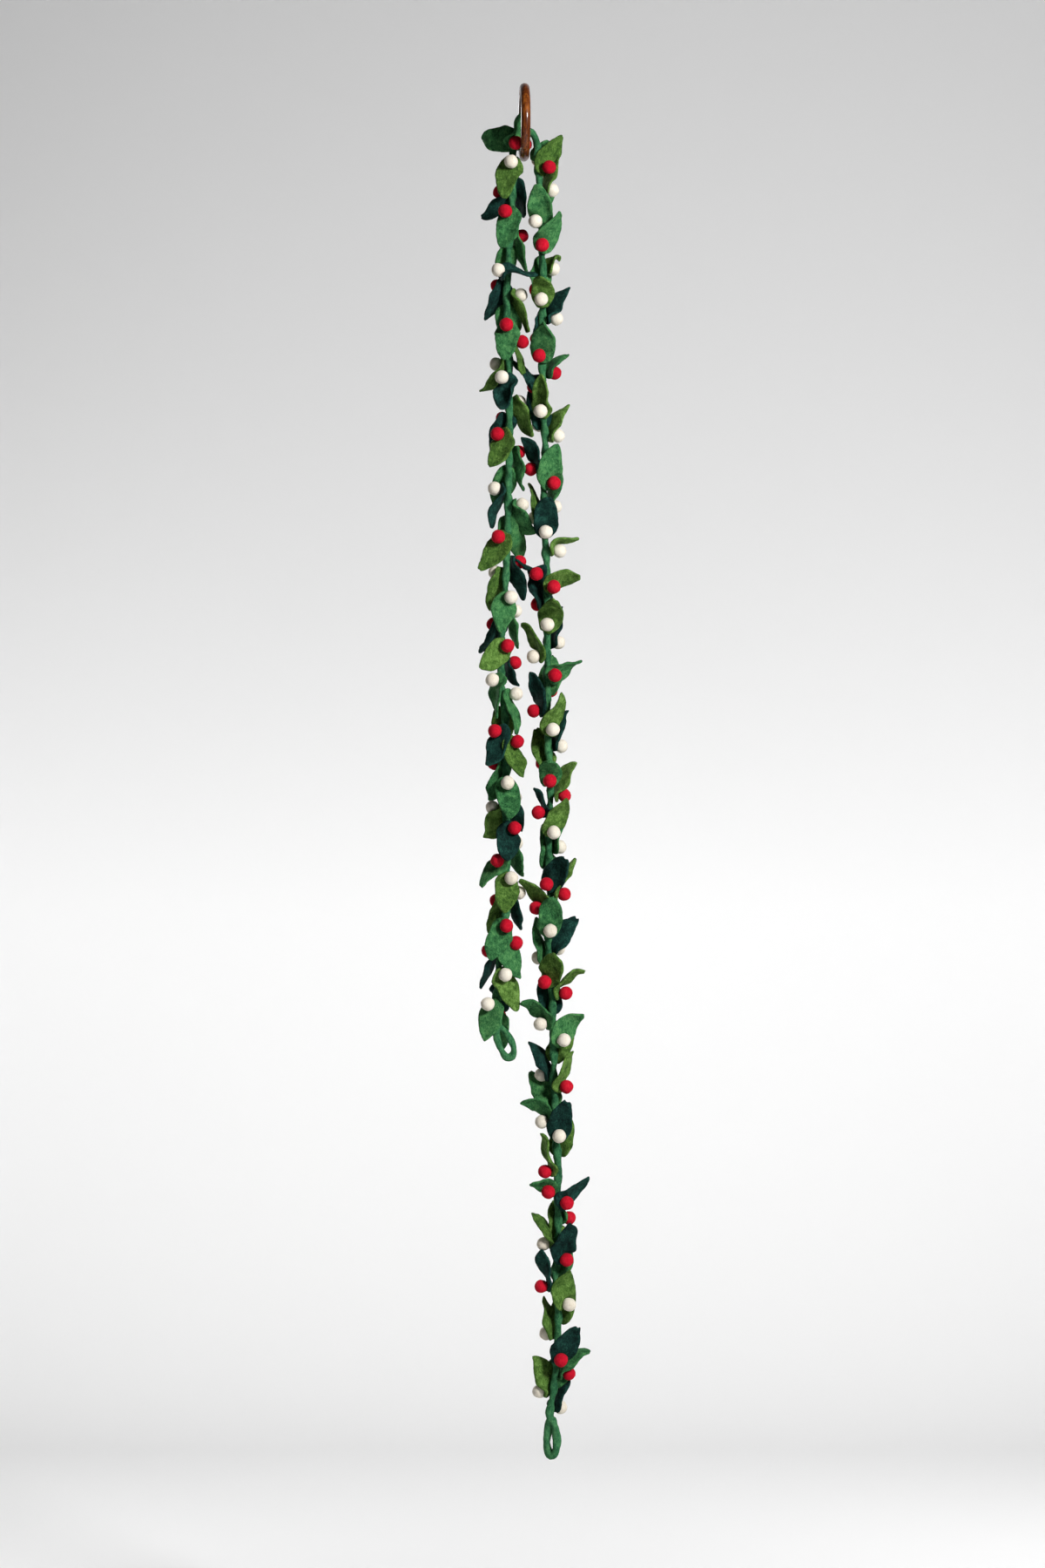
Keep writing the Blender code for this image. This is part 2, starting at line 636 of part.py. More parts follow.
def sprigs(strand, rows):
    """All the sprigs of one strand, three to a strip."""
    for index in range(0, len(rows), SPRIGS_A_STRIP):
        number = index // SPRIGS_A_STRIP + 1
        sprig_group(f"sprigs_{strand}_{number:02d}", strand, rows[index:index + SPRIGS_A_STRIP])


def main():
    """Build the garland on its ring."""
    for old in list(bpy.data.objects):
        bpy.data.objects.remove(old)
    ring()
    stem()
    end_loop("loop_left", LEFT_LOOP, LEFT_LOOP_THICK)
    end_loop("loop_right", RIGHT_LOOP, RIGHT_LOOP_THICK)
    sprigs("left", LEFT_SPRIGS)
    sprigs("right", RIGHT_SPRIGS)


main()
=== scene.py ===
"""Felt ball garland doubled over a wooden ring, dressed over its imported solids.

The felted stem cord hangs over a turned ring as a short and a long strand.
Cut felt leaves are sewn along it, each with a round felt ball over its base.
Lengths in the tables are millimetres; everything built is in metres.
"""
import logging
import math
import random
from dataclasses import dataclass, field
from enum import Enum
from typing import NamedTuple

import bmesh
import bpy
import numpy as np
from mathutils import Matrix, Vector, noise
from mathutils.geometry import interpolate_bezier


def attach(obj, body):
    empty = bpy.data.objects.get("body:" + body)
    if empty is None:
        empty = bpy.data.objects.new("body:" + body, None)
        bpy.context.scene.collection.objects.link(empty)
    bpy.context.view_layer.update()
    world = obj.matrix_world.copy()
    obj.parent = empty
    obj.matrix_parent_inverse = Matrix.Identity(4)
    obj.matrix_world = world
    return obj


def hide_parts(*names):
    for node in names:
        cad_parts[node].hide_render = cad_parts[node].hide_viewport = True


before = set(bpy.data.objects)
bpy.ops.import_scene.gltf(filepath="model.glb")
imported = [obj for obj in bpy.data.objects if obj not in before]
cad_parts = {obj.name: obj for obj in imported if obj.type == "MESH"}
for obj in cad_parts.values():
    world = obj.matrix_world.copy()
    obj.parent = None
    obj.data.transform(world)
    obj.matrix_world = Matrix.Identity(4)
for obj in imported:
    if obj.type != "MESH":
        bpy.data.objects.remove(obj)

LOG = logging.getLogger("garland")
MM = 0.001
CM_IN_A_METRE = 100
SAME_SPOT = 0.01 * MM
BODY = "root"
TONE = "tone"
FRONT = Vector((0, -1, 0))
MIX_SOCKETS = {"VECTOR": (4, 5, 1), "RGBA": (6, 7, 2)}
Colour = tuple[float, float, float, float]
Triple = tuple[float, float, float]
BMesh = bmesh.types.BMesh
Material = bpy.types.Material
Node = bpy.types.Node
NodeTree = bpy.types.NodeTree
Piece = bpy.types.Object
Socket = bpy.types.NodeSocket


class Slot(Enum):
    """The garland's finishes, by the record's material slot."""

    KELLY = "leaf_kelly"
    OLIVE = "leaf_olive"
    TEAL = "leaf_teal"
    RED = "ball_red"
    WHITE = "ball_white"
    STEM = "stem_felt"
    WOOD = "ring_wood"


class Strand(Enum):
    """The two strands that hang from the ring."""

    LEFT = "left"
    RIGHT = "right"


KELLY, OLIVE, TEAL, RED, WHITE, STEM, WOOD = Slot


class Bend(NamedTuple):
    """A point that the cord's centre line passes, in millimetres."""

    across: float
    away: float
    down: float


class Sprig(NamedTuple):
    """One leaf with the ball over its base.

    down: how far below the ring's top the ball sits, in millimetres
    turn: the side of the stem it is sewn to, 0 facing the viewer, 90 right
    lean: swing of the leaf from the stem's direction, in degrees
    curl: outward bend from root to tip; flick: extra bend of the outer half
    twist: turn of the blade about its length, from root to tip; roll: such a
    turn that is whole by a third of the length; cup: fold of its two halves
    sway: sideways bend of the blade; hook: curl of the tip alone
    """

    down: float
    turn: float
    leaf: Slot
    ball: Slot
    lean: float = 0
    curl: float = 40
    flick: float = 0
    twist: float = 0
    roll: float = 0
    cup: float = 12
    size: float = 1
    sway: float = 0
    hook: float = 0


class Width(NamedTuple):
    """Half the leaf's width, in millimetres, at a share of its length from the base."""

    share: float
    half: float


class Lump(NamedTuple):
    """How far felt moves in and out or about, and over what width."""

    depth: float
    width: float


class Fuzz(NamedTuple):
    """Loose fibres: how many to a square centimetre, and their mean length."""

    density: float
    length: float


RIGHT_ROUTE = [
    Bend(30.4, 0, 1460),
    Bend(27.6, 0, 1452), Bend(31.4, 1, 1428), Bend(34.8, 2, 1398), Bend(37, 2, 1346), Bend(33.5, 0, 1310),
    Bend(37, -2, 1252), Bend(36.1, -3, 1172), Bend(32.8, -1, 1110), Bend(31, 2, 1009), Bend(26, 3, 933),
    Bend(28.5, 1, 883), Bend(26.8, -1, 828), Bend(28.5, -2, 770), Bend(26.1, -3, 718), Bend(25, -1, 620),
    Bend(24.7, 1, 540), Bend(21, 2, 448), Bend(23, 3, 402), Bend(20, 2, 340), Bend(20, 0, 198),
    Bend(16.4, -1, 109), Bend(14, 0, 76), Bend(13.4, 0, 63.5), Bend(8.6, 0, 54),
]
LEFT_ROUTE = [
    Bend(1, 0, 50.8), Bend(-6.6, 0, 54), Bend(-11.4, 0, 63.5), Bend(-11.8, 0, 76), Bend(-12.4, 1, 118),
    Bend(-18, 2, 198), Bend(-19, 1, 251), Bend(-16.3, -1, 304), Bend(-16.6, -2, 378), Bend(-17.2, -1, 440),
    Bend(-20, 1, 535), Bend(-25.4, 3, 640), Bend(-20.9, 2, 695), Bend(-20.2, 0, 760), Bend(-19.4, -2, 850),
    Bend(-20.4, -2, 905), Bend(-26.6, 0, 955), Bend(-30, 1, 991), Bend(-29.2, 1, 1025), Bend(-27.4, 1, 1033),
]
LEFT_LOOP = [
    Bend(-27, 1, 1029), Bend(-30.4, 1, 1035), Bend(-28.8, 1, 1045), Bend(-24.6, 0, 1055),
    Bend(-17.6, 0, 1062.6), Bend(-11.4, 0, 1056.5), Bend(-13.4, 1, 1046), Bend(-19.8, 2, 1036),
]
RIGHT_LOOP = [
    Bend(29.2, 0, 1456.6), Bend(27, 1.5, 1462), Bend(26, 2.5, 1471), Bend(25, 3, 1485),
    Bend(30, 0.5, 1496), Bend(35.6, -2, 1485), Bend(34.6, -2.5, 1471), Bend(32.6, -1, 1462),
]
LEFT_SPRIGS = [
    Sprig(50, 110, KELLY, RED, lean=90, curl=0, cup=50, size=0.3),
    Sprig(60, -160, KELLY, RED, lean=72, curl=80, sway=32),
    Sprig(67, 10, KELLY, RED, lean=174, curl=42, roll=35, cup=25),
    Sprig(87, -9, OLIVE, WHITE, lean=-16, curl=35),
    Sprig(108, 165, TEAL, RED, lean=-10, twist=20, roll=35),
    Sprig(118, -110, TEAL, RED, curl=78, twist=20, roll=8),
    Sprig(141, -27, KELLY, RED, lean=4, curl=14, roll=-17, sway=6),
    Sprig(164, 120, KELLY, RED, curl=34, twist=30, roll=-7, hook=20),
    Sprig(181, -168, KELLY, WHITE, size=0.85),
    Sprig(205, -42, TEAL, WHITE, lean=78, curl=-75, twist=-15, roll=-72, size=0.9),
    Sprig(219, -135, TEAL, RED, lean=5, curl=48, roll=-1),
    Sprig(230, 95, OLIVE, WHITE, curl=60, flick=-70, roll=-15),
    Sprig(247, 176, KELLY, RED, lean=-4),
    Sprig(265, -3, KELLY, RED, lean=-3, curl=36),
    Sprig(283, 80, OLIVE, RED, curl=6, twist=25, size=0.85),
    Sprig(305, -110, OLIVE, WHITE, curl=66, roll=5),
    Sprig(322, -33, TEAL, WHITE, lean=10, roll=2, cup=45),
    Sprig(346, 135, OLIVE, WHITE, lean=-15, twist=20),
    Sprig(364, -150, TEAL, RED, lean=10),
    Sprig(383, -56, OLIVE, RED, lean=5, roll=-35),
    Sprig(401, 135, KELLY, RED, curl=20, twist=50),
    Sprig(423, -162, KELLY, WHITE, lean=10),
    Sprig(442, -88, TEAL, WHITE, curl=20, twist=45, roll=1),
    Sprig(459, 96, KELLY, WHITE, curl=60, roll=-50),
    Sprig(478, 178, KELLY, RED, lean=-22),
    Sprig(495, -39, OLIVE, RED, lean=-24, curl=30, roll=-17),
    Sprig(521, 108, TEAL, RED, curl=34, roll=-22),
    Sprig(533, -127, OLIVE, WHITE, curl=30, roll=4),
    Sprig(560, 27, KELLY, WHITE, lean=-20, curl=30, roll=17),
    Sprig(574, 124, KELLY, WHITE, curl=24, roll=14),
    Sprig(590, -135, TEAL, RED, curl=66, roll=-7),
    Sprig(613, 26, OLIVE, RED, lean=-46, curl=14, roll=9),
    Sprig(631, 100, TEAL, RED, roll=-29, size=0.7, hook=30),
    Sprig(650, -40, KELLY, WHITE, lean=8, curl=12, twist=55, roll=3),
    Sprig(667, 76, KELLY, WHITE, curl=-4, twist=20, roll=-2, sway=8),
    Sprig(685, -165, OLIVE, RED),
    Sprig(706, -50, TEAL, RED, roll=-23),
    Sprig(718, 58, OLIVE, RED, lean=-5, twist=40),
    Sprig(741, -125, KELLY, RED, curl=24, twist=30),
    Sprig(763, 8, KELLY, WHITE, lean=2),
    Sprig(779, 140, TEAL, WHITE),
    Sprig(789, -100, OLIVE, WHITE, roll=62, size=0.95),
    Sprig(812, 37, TEAL, RED, lean=-22, roll=30),
    Sprig(828, 135, KELLY, WHITE, curl=30, roll=18),
    Sprig(847, -40, KELLY, RED, lean=-38, curl=44, roll=14, size=0.85),
    Sprig(866, 21, OLIVE, WHITE, lean=-14, roll=11),
    Sprig(882, 115, TEAL, WHITE, curl=18),
    Sprig(892, -135, OLIVE, RED),
    Sprig(917, 9, KELLY, RED, lean=-27),
    Sprig(935, 85, KELLY, RED, lean=-8, curl=42, roll=58),
    Sprig(948, -112, TEAL, RED, curl=14, twist=20, roll=-8),
    Sprig(970, 31, OLIVE, WHITE, lean=22),
    Sprig(984, 150, TEAL, WHITE, size=0.85),
    Sprig(1003, -40, KELLY, WHITE, curl=30, roll=-15),
    Sprig(1018, 171, KELLY, RED, curl=28, roll=30, size=0.9),
]
RIGHT_SPRIGS = [
    Sprig(80, 178, KELLY, WHITE, lean=-40, curl=50, size=0.7),
    Sprig(94, 50, OLIVE, RED, lean=34, curl=18, roll=-5, sway=10),
    Sprig(116, 118, OLIVE, WHITE, curl=46, roll=7),
    Sprig(135, -158, KELLY, RED, lean=-35),
    Sprig(152, -25, KELLY, WHITE, lean=15, roll=16),
    Sprig(178, 0, KELLY, RED, lean=28, curl=30, twist=85),
    Sprig(201, 130, OLIVE, WHITE, curl=110, size=0.75, hook=90),
    Sprig(223, -150, KELLY, RED, lean=-18, curl=20),
    Sprig(237, -7, OLIVE, WHITE, lean=5, curl=86, size=0.9),
    Sprig(256, 102, TEAL, WHITE, curl=56, roll=29),
    Sprig(277, -155, TEAL, RED, lean=-14, curl=10, roll=49),
    Sprig(298, -14, KELLY, RED, lean=15, roll=3),
    Sprig(315, 118, KELLY, RED, curl=90, size=0.8),
    Sprig(329, -141, TEAL, RED, lean=40, roll=38),
    Sprig(358, -11, OLIVE, WHITE, lean=8, roll=-27, cup=40),
    Sprig(371, -158, TEAL, WHITE),
    Sprig(384, 108, OLIVE, WHITE, curl=60, roll=16),
    Sprig(421, -92, TEAL, RED, lean=20, curl=52, twist=30, roll=28, size=0.95),
    Sprig(436, 47, KELLY, RED, lean=-6, curl=25, roll=-38),
    Sprig(461, 126, KELLY, WHITE, curl=32),
    Sprig(472, -140, OLIVE, WHITE, curl=30, twist=30, roll=12),
    Sprig(490, 3, TEAL, WHITE, lean=5),
    Sprig(510, 98, OLIVE, WHITE, curl=150, flick=-65, roll=-13, size=0.85),
    Sprig(535, -48, TEAL, RED, lean=-64, curl=58, roll=-60, size=0.85, sway=30),
    Sprig(550, 29, OLIVE, RED, lean=38, curl=45, roll=34, size=0.85, sway=80),
    Sprig(567, -135, TEAL, RED),
    Sprig(591, 0, OLIVE, WHITE, lean=20, curl=92),
    Sprig(609, 125, TEAL, WHITE, lean=12, curl=24),
    Sprig(625, -85, OLIVE, WHITE, curl=46, twist=15, roll=7),
    Sprig(646, 33, KELLY, RED, lean=58, curl=30, twist=85, roll=4, size=0.9),
    Sprig(661, 165, KELLY, RED),
    Sprig(684, -82, TEAL, RED, curl=15, twist=55, roll=2),
    Sprig(705, 20, OLIVE, WHITE, lean=10, twist=60, roll=2),
    Sprig(723, 113, TEAL, WHITE, curl=26, twist=30, roll=-14),
    Sprig(741, -150, OLIVE, RED),
    Sprig(760, -2, KELLY, RED, curl=88, size=0.9),
    Sprig(776, 87, OLIVE, RED, twist=10, roll=33),
    Sprig(795, -56, TEAL, RED, curl=24, twist=30, roll=-27, size=0.7),
    Sprig(816, 20, OLIVE, WHITE, lean=16, roll=8),
    Sprig(833, 128, KELLY, WHITE, curl=24, roll=-12),
    Sprig(851, -172, KELLY, RED, curl=10, roll=64),
    Sprig(872, -16, TEAL, RED, lean=42, curl=34),
    Sprig(884, 100, OLIVE, RED, curl=48, twist=40, roll=-11),
    Sprig(900, -80, OLIVE, RED, curl=82, roll=29),
    Sprig(923, 8, KELLY, WHITE, curl=36),
    Sprig(944, 132, TEAL, WHITE, lean=-28, curl=50, roll=16),
    Sprig(953, -130, KELLY, WHITE, curl=8, roll=22),
    Sprig(979, -27, OLIVE, RED, lean=30),
    Sprig(993, 90, OLIVE, RED, curl=92, twist=-50, roll=11),
    Sprig(1009, -165, TEAL, RED, curl=30),
    Sprig(1025, -67, KELLY, WHITE, curl=100, twist=15, roll=8),
    Sprig(1043, 49, KELLY, WHITE, lean=28, curl=56, roll=-16),
    Sprig(1061, 165, OLIVE, RED, lean=-20),
    Sprig(1081, -117, TEAL, WHITE, curl=52, roll=-10),
    Sprig(1094, 64, OLIVE, RED, curl=26, twist=10, roll=-7),
    Sprig(1112, -160, KELLY, RED, lean=25),
    Sprig(1131, -76, KELLY, WHITE, curl=100, twist=80, roll=-2),
    Sprig(1147, 12, TEAL, WHITE, lean=12),
    Sprig(1163, 160, OLIVE, WHITE, lean=-12, curl=10),
    Sprig(1185, -67, OLIVE, RED, curl=12, twist=50, roll=-29),
    Sprig(1207, -45, KELLY, RED, lean=-48, curl=105, roll=-8, size=0.72),
    Sprig(1219, 38, TEAL, RED, lean=40, curl=32, roll=24, cup=30, size=0.95),
    Sprig(1238, 128, KELLY, RED, lean=47, curl=24, twist=38, roll=-36, size=0.78),
    Sprig(1252, -170, OLIVE, WHITE, lean=1, curl=51, twist=20, roll=44, size=0.82),
    Sprig(1266, -92, OLIVE, WHITE, curl=56, roll=-15),
    Sprig(1280, 47, TEAL, RED, roll=-37),
    Sprig(1301, 138, KELLY, RED, curl=42),
    Sprig(1311, -80, TEAL, RED, curl=16, twist=120, roll=-35, size=0.95),
    Sprig(1332, 62, OLIVE, WHITE, curl=28, twist=10, roll=-41),
    Sprig(1348, 165, OLIVE, RED, lean=-15),
    Sprig(1365, -122, OLIVE, WHITE, curl=24, roll=6),
    Sprig(1390, 18, TEAL, RED, lean=22, curl=22, roll=-2),
    Sprig(1406, 102, KELLY, RED, curl=86, twist=15, roll=13),
    Sprig(1417, -178, KELLY, WHITE, lean=-14),
    Sprig(1429, -99, OLIVE, WHITE, lean=-5, roll=-56),
    Sprig(1443, 132, TEAL, WHITE, curl=30, twist=20, roll=-28, size=0.85),
]
LEAF_WIDTHS = [
    Width(0, 5.2), Width(0.05, 8.6), Width(0.12, 11.6), Width(0.24, 14), Width(0.38, 14.9), Width(0.52, 14.4),
    Width(0.66, 12.5), Width(0.78, 9.8), Width(0.88, 6.4), Width(0.95, 3.6), Width(1, 1.5),
]


def spot(bend: Bend) -> Vector:
    """A route's point in metres."""
    return Vector((bend.across, bend.away, -bend.down)) * MM


def smooth_line(bends: list[Bend], steps: int, closed: bool = False) -> list[Vector]:
    """A fine smooth line through the route's points.

    Args:
        bends: the points in order.
        steps: points made for each stretch between two bends.
        closed: whether the line comes back to its start.

    Returns:
        The line's points in metres.
    """
    points = [spot(bend) for bend in bends]
    count = len(points)
    line: list[Vector] = []
    for index in range(count if closed else count - 1):
        start = points[index]
        end = points[(index + 1) % count]
        before = points[index - 1] if closed or index else start
        after = points[(index + 2) % count] if closed or index + 2 < count else end
        third = (end - start).length / 3
        leave = start + (end - before).normalized() * third
        arrive = end - (after - start).normalized() * third
        line += interpolate_bezier(start, leave, arrive, end, steps + 1)[:-1]
    if not closed:
        line.append(points[-1])
    return line


def evenly(line: list[Vector], step: float, closed: bool = False) -> list[Vector]:
    """Points an even step apart along a line.

    Args:
        line: the fine line.
        step: the distance wanted between points.
        closed: whether the line joins its start.

    Returns:
        The even points, without a repeat of the start on a closed line.
    """
    whole = line + [line[0]] if closed else line
    lengths = np.concatenate([[0], np.cumsum([(b - a).length for a, b in zip(whole, whole[1:])])])
    count = max(3, round(lengths[-1] / step))
    targets = np.linspace(0, lengths[-1], count + 1)
    axes = [np.interp(targets, lengths, [point[axis] for point in whole]) for axis in range(3)]
    even = [Vector(point) for point in zip(*axes)]
    return even[:-1] if closed else even


def smooth_share(value: float) -> float:
    """A soft ramp from 0 to 1."""
    held = min(1.0, max(0.0, value))
    return held * held * (3 - 2 * held)


def square_to(way: Vector, along: Vector) -> Vector:
    """The unit direction nearest to one way that is square to another."""
    return (way - along * way.dot(along)).normalized()


def placed(name: str, data: bpy.types.ID) -> Piece:
    """A new object in the scene."""
    made = bpy.data.objects.new(name, data)
    bpy.context.scene.collection.objects.link(made)
    return made


def evaluated(made: Piece) -> bpy.types.Mesh:
    """A new mesh of an object as its modifiers and bevels shape it."""
    graph = bpy.context.evaluated_depsgraph_get()
    return bpy.data.meshes.new_from_object(made.evaluated_get(graph))


@dataclass
class Route:
    """The cord's way up the long strand, over the ring and down the short one.

    near and crest are the fine steps that its direction is taken over, on a strand and on the ring.
    """

    steps: int = 24
    near: int = 6
    crest: int = 4
    line: list[Vector] = field(init=False)
    apex: int = field(init=False)

    def __post_init__(self) -> None:
        """Work out the fine line and where it crosses the ring."""
        self.line = smooth_line(RIGHT_ROUTE + LEFT_ROUTE, self.steps)
        self.apex = self.steps * len(RIGHT_ROUTE)

    def at(self, strand: Strand, down: float) -> tuple[Vector, Vector]:
        """The cord's centre and direction at a depth of one strand.

        Args:
            strand: which strand.
            down: millimetres below the ring's top.

        Returns:
            The centre and the unit direction along the cord.
        """
        height = -down * MM
        line = self.line[:self.apex + 1] if strand is Strand.RIGHT else self.line[self.apex:]
        if height >= self.line[self.apex].z:
            before, after = self.line[self.apex - self.crest], self.line[self.apex + self.crest]
            return self.line[self.apex].copy(), (after - before).normalized()
        for index, (before, after) in enumerate(zip(line, line[1:])):
            low, high = sorted((before.z, after.z))
            if low <= height <= high and high > low:
                share = (height - before.z) / (after.z - before.z)
                start = line[max(0, index - self.near)]
                end = line[min(len(line) - 1, index + 1 + self.near)]
                return before.lerp(after, share), (end - start).normalized()
        return line[-1].copy(), (line[-1] - line[-2]).normalized()

    def side(self, strand: Strand, along: Vector, turn: float) -> tuple[Vector, Vector]:
        """Directions at a turn about the cord.

        Args:
            strand: which strand.
            along: the cord's direction there.
            turn: degrees, 0 facing the viewer and 90 to the right.

        Returns:
            The outward direction, and the way in which the turn grows.
        """
        front = square_to(FRONT, along)
        right = along.cross(front) * (1 if strand is Strand.RIGHT else -1)
        angle = math.radians(turn)
        outward = front * math.cos(angle) + right * math.sin(angle)
        growing = right * math.cos(angle) - front * math.sin(angle)
        return outward, growing


@dataclass
class Blade:
    """The bent, cupped and wavy form of one felt leaf.

    The base hugs the stem, and the leaf has opened from it by opened_by. ripples, lag, sways, hooks
    and twists are the ranges of what differs from leaf to leaf, the last three in degrees.
    """

    route: Route
    strand: Strand
    sprig: Sprig
    base: float = 7 * MM
    base_rate: float = 1.1
    reach: float = 45 * MM
    root_height: float = 6.1 * MM
    ball_height: float = 9.1 * MM
    lift: float = math.radians(8)
    lift_rate: float = 6
    hook_from: float = 0.6
    rolled_by: float = 0.3
    opened_by: float = 16 * MM
    hug: float = 1 / (17 * MM)
    cup_width: float = 8 * MM
    least_bow: float = 1e-3
    wave: float = 2.2 * MM
    waves: float = 1.35
    edge_power: float = 2.2
    lag: float = 0.9
    ripples: tuple[float, float] = (0.5, 1.25)
    sways: float = 9
    hooks: tuple[float, float] = (-26, 30)
    twists: float = 10
    steps: int = 26
    tip_gap: float = 1e-6

    def __post_init__(self) -> None:
        """Set the root's frame, the leaf's own unevenness and its centre line."""
        sprig = self.sprig
        centre, stem_way = self.route.at(self.strand, sprig.down)
        self.outward, growing = self.route.side(self.strand, stem_way, sprig.turn)
        lean = math.radians(sprig.lean)
        self.along = stem_way * math.cos(lean) + growing * math.sin(lean)
        self.width_way = self.along.cross(self.outward)
        self.root = centre + self.outward * self.root_height
        self.whole = self.reach * sprig.size
        own = random.Random(f"{self.strand.value} {sprig.down}")
        self.phase = own.uniform(0, math.tau)
        self.ripple = own.uniform(*self.ripples)
        self.uneven = own.uniform(-self.lag, self.lag)
        self.sway = math.radians(sprig.sway + own.uniform(-self.sways, self.sways))
        self.hook = math.radians(sprig.hook + own.uniform(*self.hooks))
        self.twist = math.radians(sprig.twist + own.uniform(-self.twists, self.twists))
        self.tone = own.uniform(-1, 1)
        self.line = self.centre_line()

    def centre_line(self) -> list[tuple[Vector, Vector, Vector]]:
        """Work out the leaf's line from the root to the tip.

        Returns:
            The middle, normal and width direction at even steps.
        """
        stations = []
        middle = self.root.copy()
        for step in range(self.steps + 1):
            share = step / self.steps
            angle = self.lift * min(1, self.lift_rate * share) + math.radians(
                self.sprig.curl * share + self.sprig.flick * max(0, 2 * share - 1))
            angle += self.hook * smooth_share((share - self.hook_from) / (1 - self.hook_from))
            yaw = self.sway * share
            plane = self.along * math.cos(yaw) + self.width_way * math.sin(yaw)
            side = self.width_way * math.cos(yaw) - self.along * math.sin(yaw)
            way = plane * math.cos(angle) + self.outward * math.sin(angle)
            normal = self.outward * math.cos(angle) - plane * math.sin(angle)
            roll = math.radians(self.sprig.roll) * smooth_share(share / self.rolled_by)
            turned = Matrix.Rotation(self.twist * share + roll, 3, way)
            stations.append((middle.copy(), turned @ normal, turned @ side))
            middle += way * (self.whole / self.steps)
        return stations

    def section(self, reach: float) -> tuple[Vector, Vector, Vector]:
        """Find the leaf's line at a distance from the root.

        Args:
            reach: the distance in metres, below 0 behind the root.

        Returns:
            The middle, normal and width direction there.
        """
        if reach <= 0:
            return self.root + self.along * reach, self.outward, self.width_way
        place = min(self.steps - self.tip_gap, reach / self.whole * self.steps)
        index = int(place)
        ends = zip(self.line[index], self.line[index + 1])
        return tuple(low.lerp(high, place - index) for low, high in ends)

    def point(self, across: float, share: float) -> Vector:
        """A point of the leaf's middle surface.

        Args:
            across: from -1 at one edge to 1 at the other.
            share: from 0 at the base to 1 at the tip.

        Returns:
            The point in metres.
        """
        size = self.sprig.size
        reach = -self.base * min(1, size * self.base_rate) * (1 - share) + self.whole * share
        middle, normal, width_way = self.section(reach)
        shares, halves = zip(*LEAF_WIDTHS)
        half = float(np.interp(share, shares, halves)) * MM * size
        opened = smooth_share(reach / self.opened_by)
        cup = math.radians(self.sprig.cup) / self.cup_width
        bow = cup * opened - self.hug * (1 - opened) * min(1, size)
        lateral, rise = across * half, 0.0
        if abs(bow) > self.least_bow:
            lateral, rise = math.sin(bow * lateral) / bow, (1 - math.cos(bow * lateral)) / bow
        edge = abs(across) ** self.edge_power
        turn = self.phase + share * math.tau * self.waves + math.copysign(self.lag, across) * self.uneven
        rise += self.wave * self.ripple * size * edge * opened * math.sin(turn)
        return middle + width_way * lateral + normal * rise


